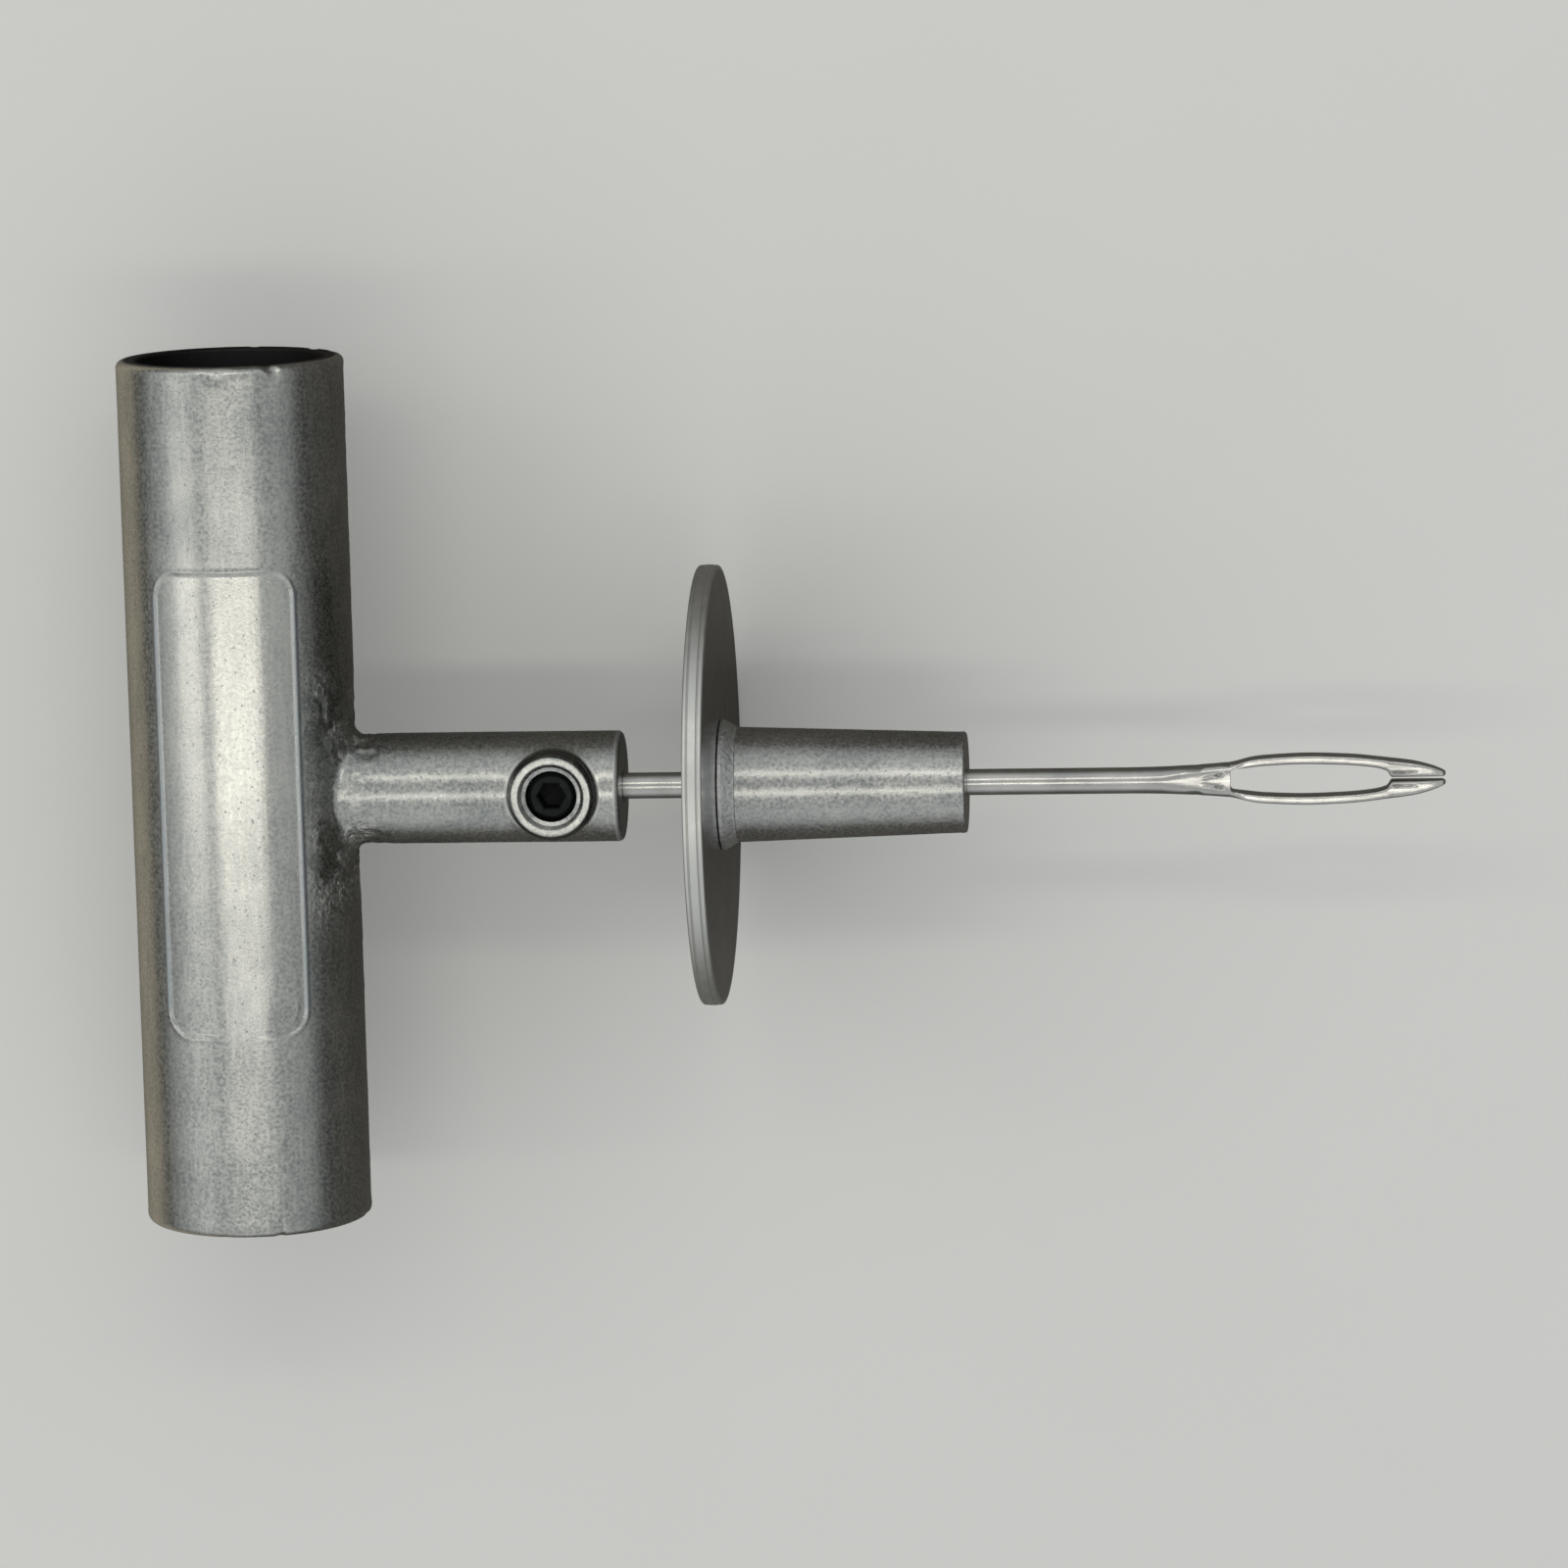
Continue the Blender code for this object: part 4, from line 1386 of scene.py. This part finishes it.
def sleeve_zinc():
    """The sleeve's zinc, with a trimmed shoulder ring painted lighter as a highlight."""
    s = zinc("sleeve_zinc", *SLEEVE_TONES, 0.015)
    x = s.math("SUBTRACT", s.axis("X"), AXIS_X / MM)
    start = DISC_HIGH.x + SEAT_GAP
    trimmed = s.between(x, start + 0.1, start + SHOULDER_WIDTH, 0.1)
    # The shoulder's lighter colour is a painted highlight; its roughness and bump below are the trim.
    s.recolour(s.times(trimmed, s.spread(s.noise(0.5), 0.4, 0.6, 0.25, 0.7)), TRIMMED_SHOULDER_HIGHLIGHT)
    s.roughen(trimmed, 0.2)
    s.surface_bump(s.times(trimmed, s.noise(0.55, 3.0)), 0.12)
    return s.material


def satin_steel():
    """Smooth drawn steel with faint lengthwise streaks."""
    s = Shader("satin_steel")
    streaks = s.noise(0.22, 3.0, (0.04, 1.0, 1.0))
    colour = s.blend(s.spread(s.noise(4.0, 3.0), 0.35, 0.7), *STEEL_TONES)
    roughness = s.spread(streaks, 0.3, 0.7, 0.16, 0.3)
    normal = s.bump(streaks, 0.004)
    normal = s.bump(s.noise(0.8, 2.0), 0.003, normal)
    return s.finish(colour, roughness, normal, metallic=1.0)


def plated_steel():
    """Bright plating over faint turning rings, with a duller rim painted lighter as a highlight, and a
    few fine scuffs.
    """
    s = Shader("plated_steel")
    radius = s.length(s.axis("Y"), s.axis("Z"))
    inputs = {"W": radius, "Scale": 2.2, "Detail": 3.0}
    rings = s.add("ShaderNodeTexNoise", inputs, noise_dimensions="1D").outputs[0]
    colour = s.blend(s.spread(s.noise(5.0, 4.0), 0.35, 0.7), *PLATING_TONES)
    rim = s.spread(radius, DISC_RADIUS - 0.9, DISC_RADIUS - 0.5)
    # Painted highlight on the rim; the rim's extra roughness is real.
    colour = s.blend(rim, colour, RIM_HIGHLIGHT)
    scuffs = s.spread(s.noise(1.2, 4.0), 0.35, 0.7, 0.10, 0.2)
    roughness = s.math("ADD", scuffs, s.times(rim, 0.3))
    normal = s.bump(rings, 0.004)
    normal = s.bump(s.noise(3.0, 2.0), 0.004, normal)
    return s.finish(colour, roughness, normal, metallic=1.0)


def black_oxide():
    """Oily black oxide with a fine tooth and rubbed thread crests."""
    s = Shader("black_oxide")
    cloud = s.noise(0.9, 4.0)
    rub = s.spread(s.edges(), 0.52, 0.62, 0.0, 0.6)
    colour = s.blend(s.spread(cloud, 0.35, 0.7), *OXIDE_TONES)
    colour = s.blend(rub, colour, RUBBED_OXIDE)
    roughness = s.spread(cloud, 0.3, 0.7, 0.42, 0.6)
    normal = s.bump(s.noise(0.15, 2.0), 0.004)
    s.feed(s.surface, {"Specular IOR Level": 0.15})
    return s.finish(colour, roughness, normal, metallic=0.0)


def floor_paint():
    """Pale paint to the camera; the metal's reflections see painted shade, as of a dark tool case,
    with one painted lit wall on its left.
    """
    s = Shader("pale_floor")
    seen = s.add("ShaderNodeLightPath").outputs["Is Camera Ray"]
    pale = s.blend(s.noise(60.0, 3.0), *FLOOR_TONES)
    # Painted shade and a painted lit band, seen only in reflections.
    lit = s.between(s.axis("X"), AXIS_X / MM - 120.0, AXIS_X / MM - 45.0, 30.0)
    case = s.blend(lit, *CASE_SHADE_AND_LIGHT)
    colour = s.blend(seen, case, pale)
    normal = s.bump(s.noise(1.5, 3.0), 0.02)
    return s.finish(colour, 0.7, normal, metallic=0.0)


# Stage

FLOOR_GAP = 0.2
FLOOR_SIZE = 4000.0
# The photograph's view: the camera's place in the handle's frame, in millimetres.
CAMERA = Vector((136.0, 135.0, 830.0))
CAMERA_ROLL = math.radians(-0.6)
FRAME_FILL = 0.84
SENSOR = 36.0
# Overhead strips: angles from the vertical in Y, then in X with each part's strength.
LIGHT_HEIGHT = 620.0
LAMP_COLOUR = (1.0, 0.965, 0.88)
STRIPS = (("near", (-11.0, -5.6)), ("far", (28.5, 33.5)))
STRIP_PARTS = (("main", (-20.0, 28.0), 9.0), ("left", (-57.0, -31.0), 6.5))
# The surround's strength at the horizon and overhead, and what is added towards the sides.
SURROUND_COLOUR = (0.95, 0.98, 0.98, 1.0)
HORIZON = 0.05
ZENITH = 0.52
ZENITH_FROM = 0.62
SIDE_GLOW = 0.28
LEFT_GLOW = 0.30


def build_floor():
    bm = bmesh.new()
    z = DISC_LOW.z - FLOOR_GAP
    half = FLOOR_SIZE / 2.0
    corners = ((-half, -half), (half, -half), (half, half), (-half, half))
    bm.faces.new(add_points(bm, [Vector((x, y, z)) for x, y in corners]))
    floor = new_object("floor", bm)
    floor.data.materials.append(floor_paint())


def build_camera():
    """A long lens from the photograph's camera place, aimed at the tool's middle."""
    length = TIP_X - CASTING_LOW.x
    target = Vector((CASTING_LOW.x + length / 2.0, 0.0, 0.0))
    sight = target - CAMERA
    data = bpy.data.cameras.new("photo_view")
    data.sensor_width = SENSOR
    data.lens = SENSOR * sight.length / (length / FRAME_FILL)
    data.clip_start = 0.05
    data.clip_end = 20.0
    camera = bpy.data.objects.new("photo_view", data)
    forward = sight.normalized()
    right = Matrix.Rotation(-CAMERA_ROLL, 3, forward) @ Vector((1.0, 0.0, 0.0))
    right = (right - forward * right.dot(forward)).normalized()
    up = right.cross(forward)
    turn = Matrix((right, up, -forward)).transposed().to_4x4()
    camera.matrix_world = Matrix.Translation(CAMERA * MM + Vector((AXIS_X, 0.0, 0.0))) @ turn
    bpy.context.scene.collection.objects.link(camera)
    bpy.context.scene.camera = camera


def add_strip(name, across, along, strength):
    """A lamp overhead, facing down, that spans two angles from the vertical in X and in Y."""
    xs = [LIGHT_HEIGHT * math.tan(math.radians(angle)) for angle in across]
    ys = [LIGHT_HEIGHT * math.tan(math.radians(angle)) for angle in along]
    data = bpy.data.lights.new(name, "AREA")
    data.shape = "RECTANGLE"
    data.size, data.size_y = (xs[1] - xs[0]) * MM, (ys[1] - ys[0]) * MM
    data.energy = strength * data.size * data.size_y
    data.color = LAMP_COLOUR
    light = bpy.data.objects.new(name, data)
    place = Vector((sum(xs) / 2.0, sum(ys) / 2.0, LIGHT_HEIGHT))
    light.location = place * MM + Vector((AXIS_X, 0.0, 0.0))
    light.visible_camera = False
    bpy.context.scene.collection.objects.link(light)


def build_surround():
    """A dim surround, brighter overhead than at the horizon, and darkest towards +X."""
    world = bpy.data.worlds.new("surround")
    world.use_nodes = True
    nodes = Nodes(world.node_tree)
    place = nodes.add("ShaderNodeTexCoord").outputs["Generated"]
    x, y, z = nodes.add("ShaderNodeSeparateXYZ", {"Vector": place}).outputs
    inputs = {"Value": z, "From Max": ZENITH_FROM, "To Min": HORIZON, "To Max": ZENITH}
    height = nodes.add("ShaderNodeMapRange", inputs, interpolation_type="SMOOTHSTEP")
    total = height.outputs[0]
    for value, glow in ((y, SIDE_GLOW), (nodes.math("MINIMUM", x, 0.0), LEFT_GLOW)):
        total = nodes.math("MULTIPLY_ADD", nodes.times(value, value), glow, total)
    background = world.node_tree.nodes["Background"]
    nodes.feed(background, {"Color": SURROUND_COLOUR, "Strength": total})
    bpy.context.scene.world = world


def build_lights():
    """Two long overhead strips along X, each broken once."""
    for side, along in STRIPS:
        for part, across, strength in STRIP_PARTS:
            add_strip(part + "_" + side, across, along, strength)


def main():
    build_casting()
    build_needle()
    build_screw()
    build_sleeve()
    build_disc()
    build_floor()
    build_camera()
    build_surround()
    build_lights()
    bpy.context.scene.view_settings.view_transform = "Standard"


main()
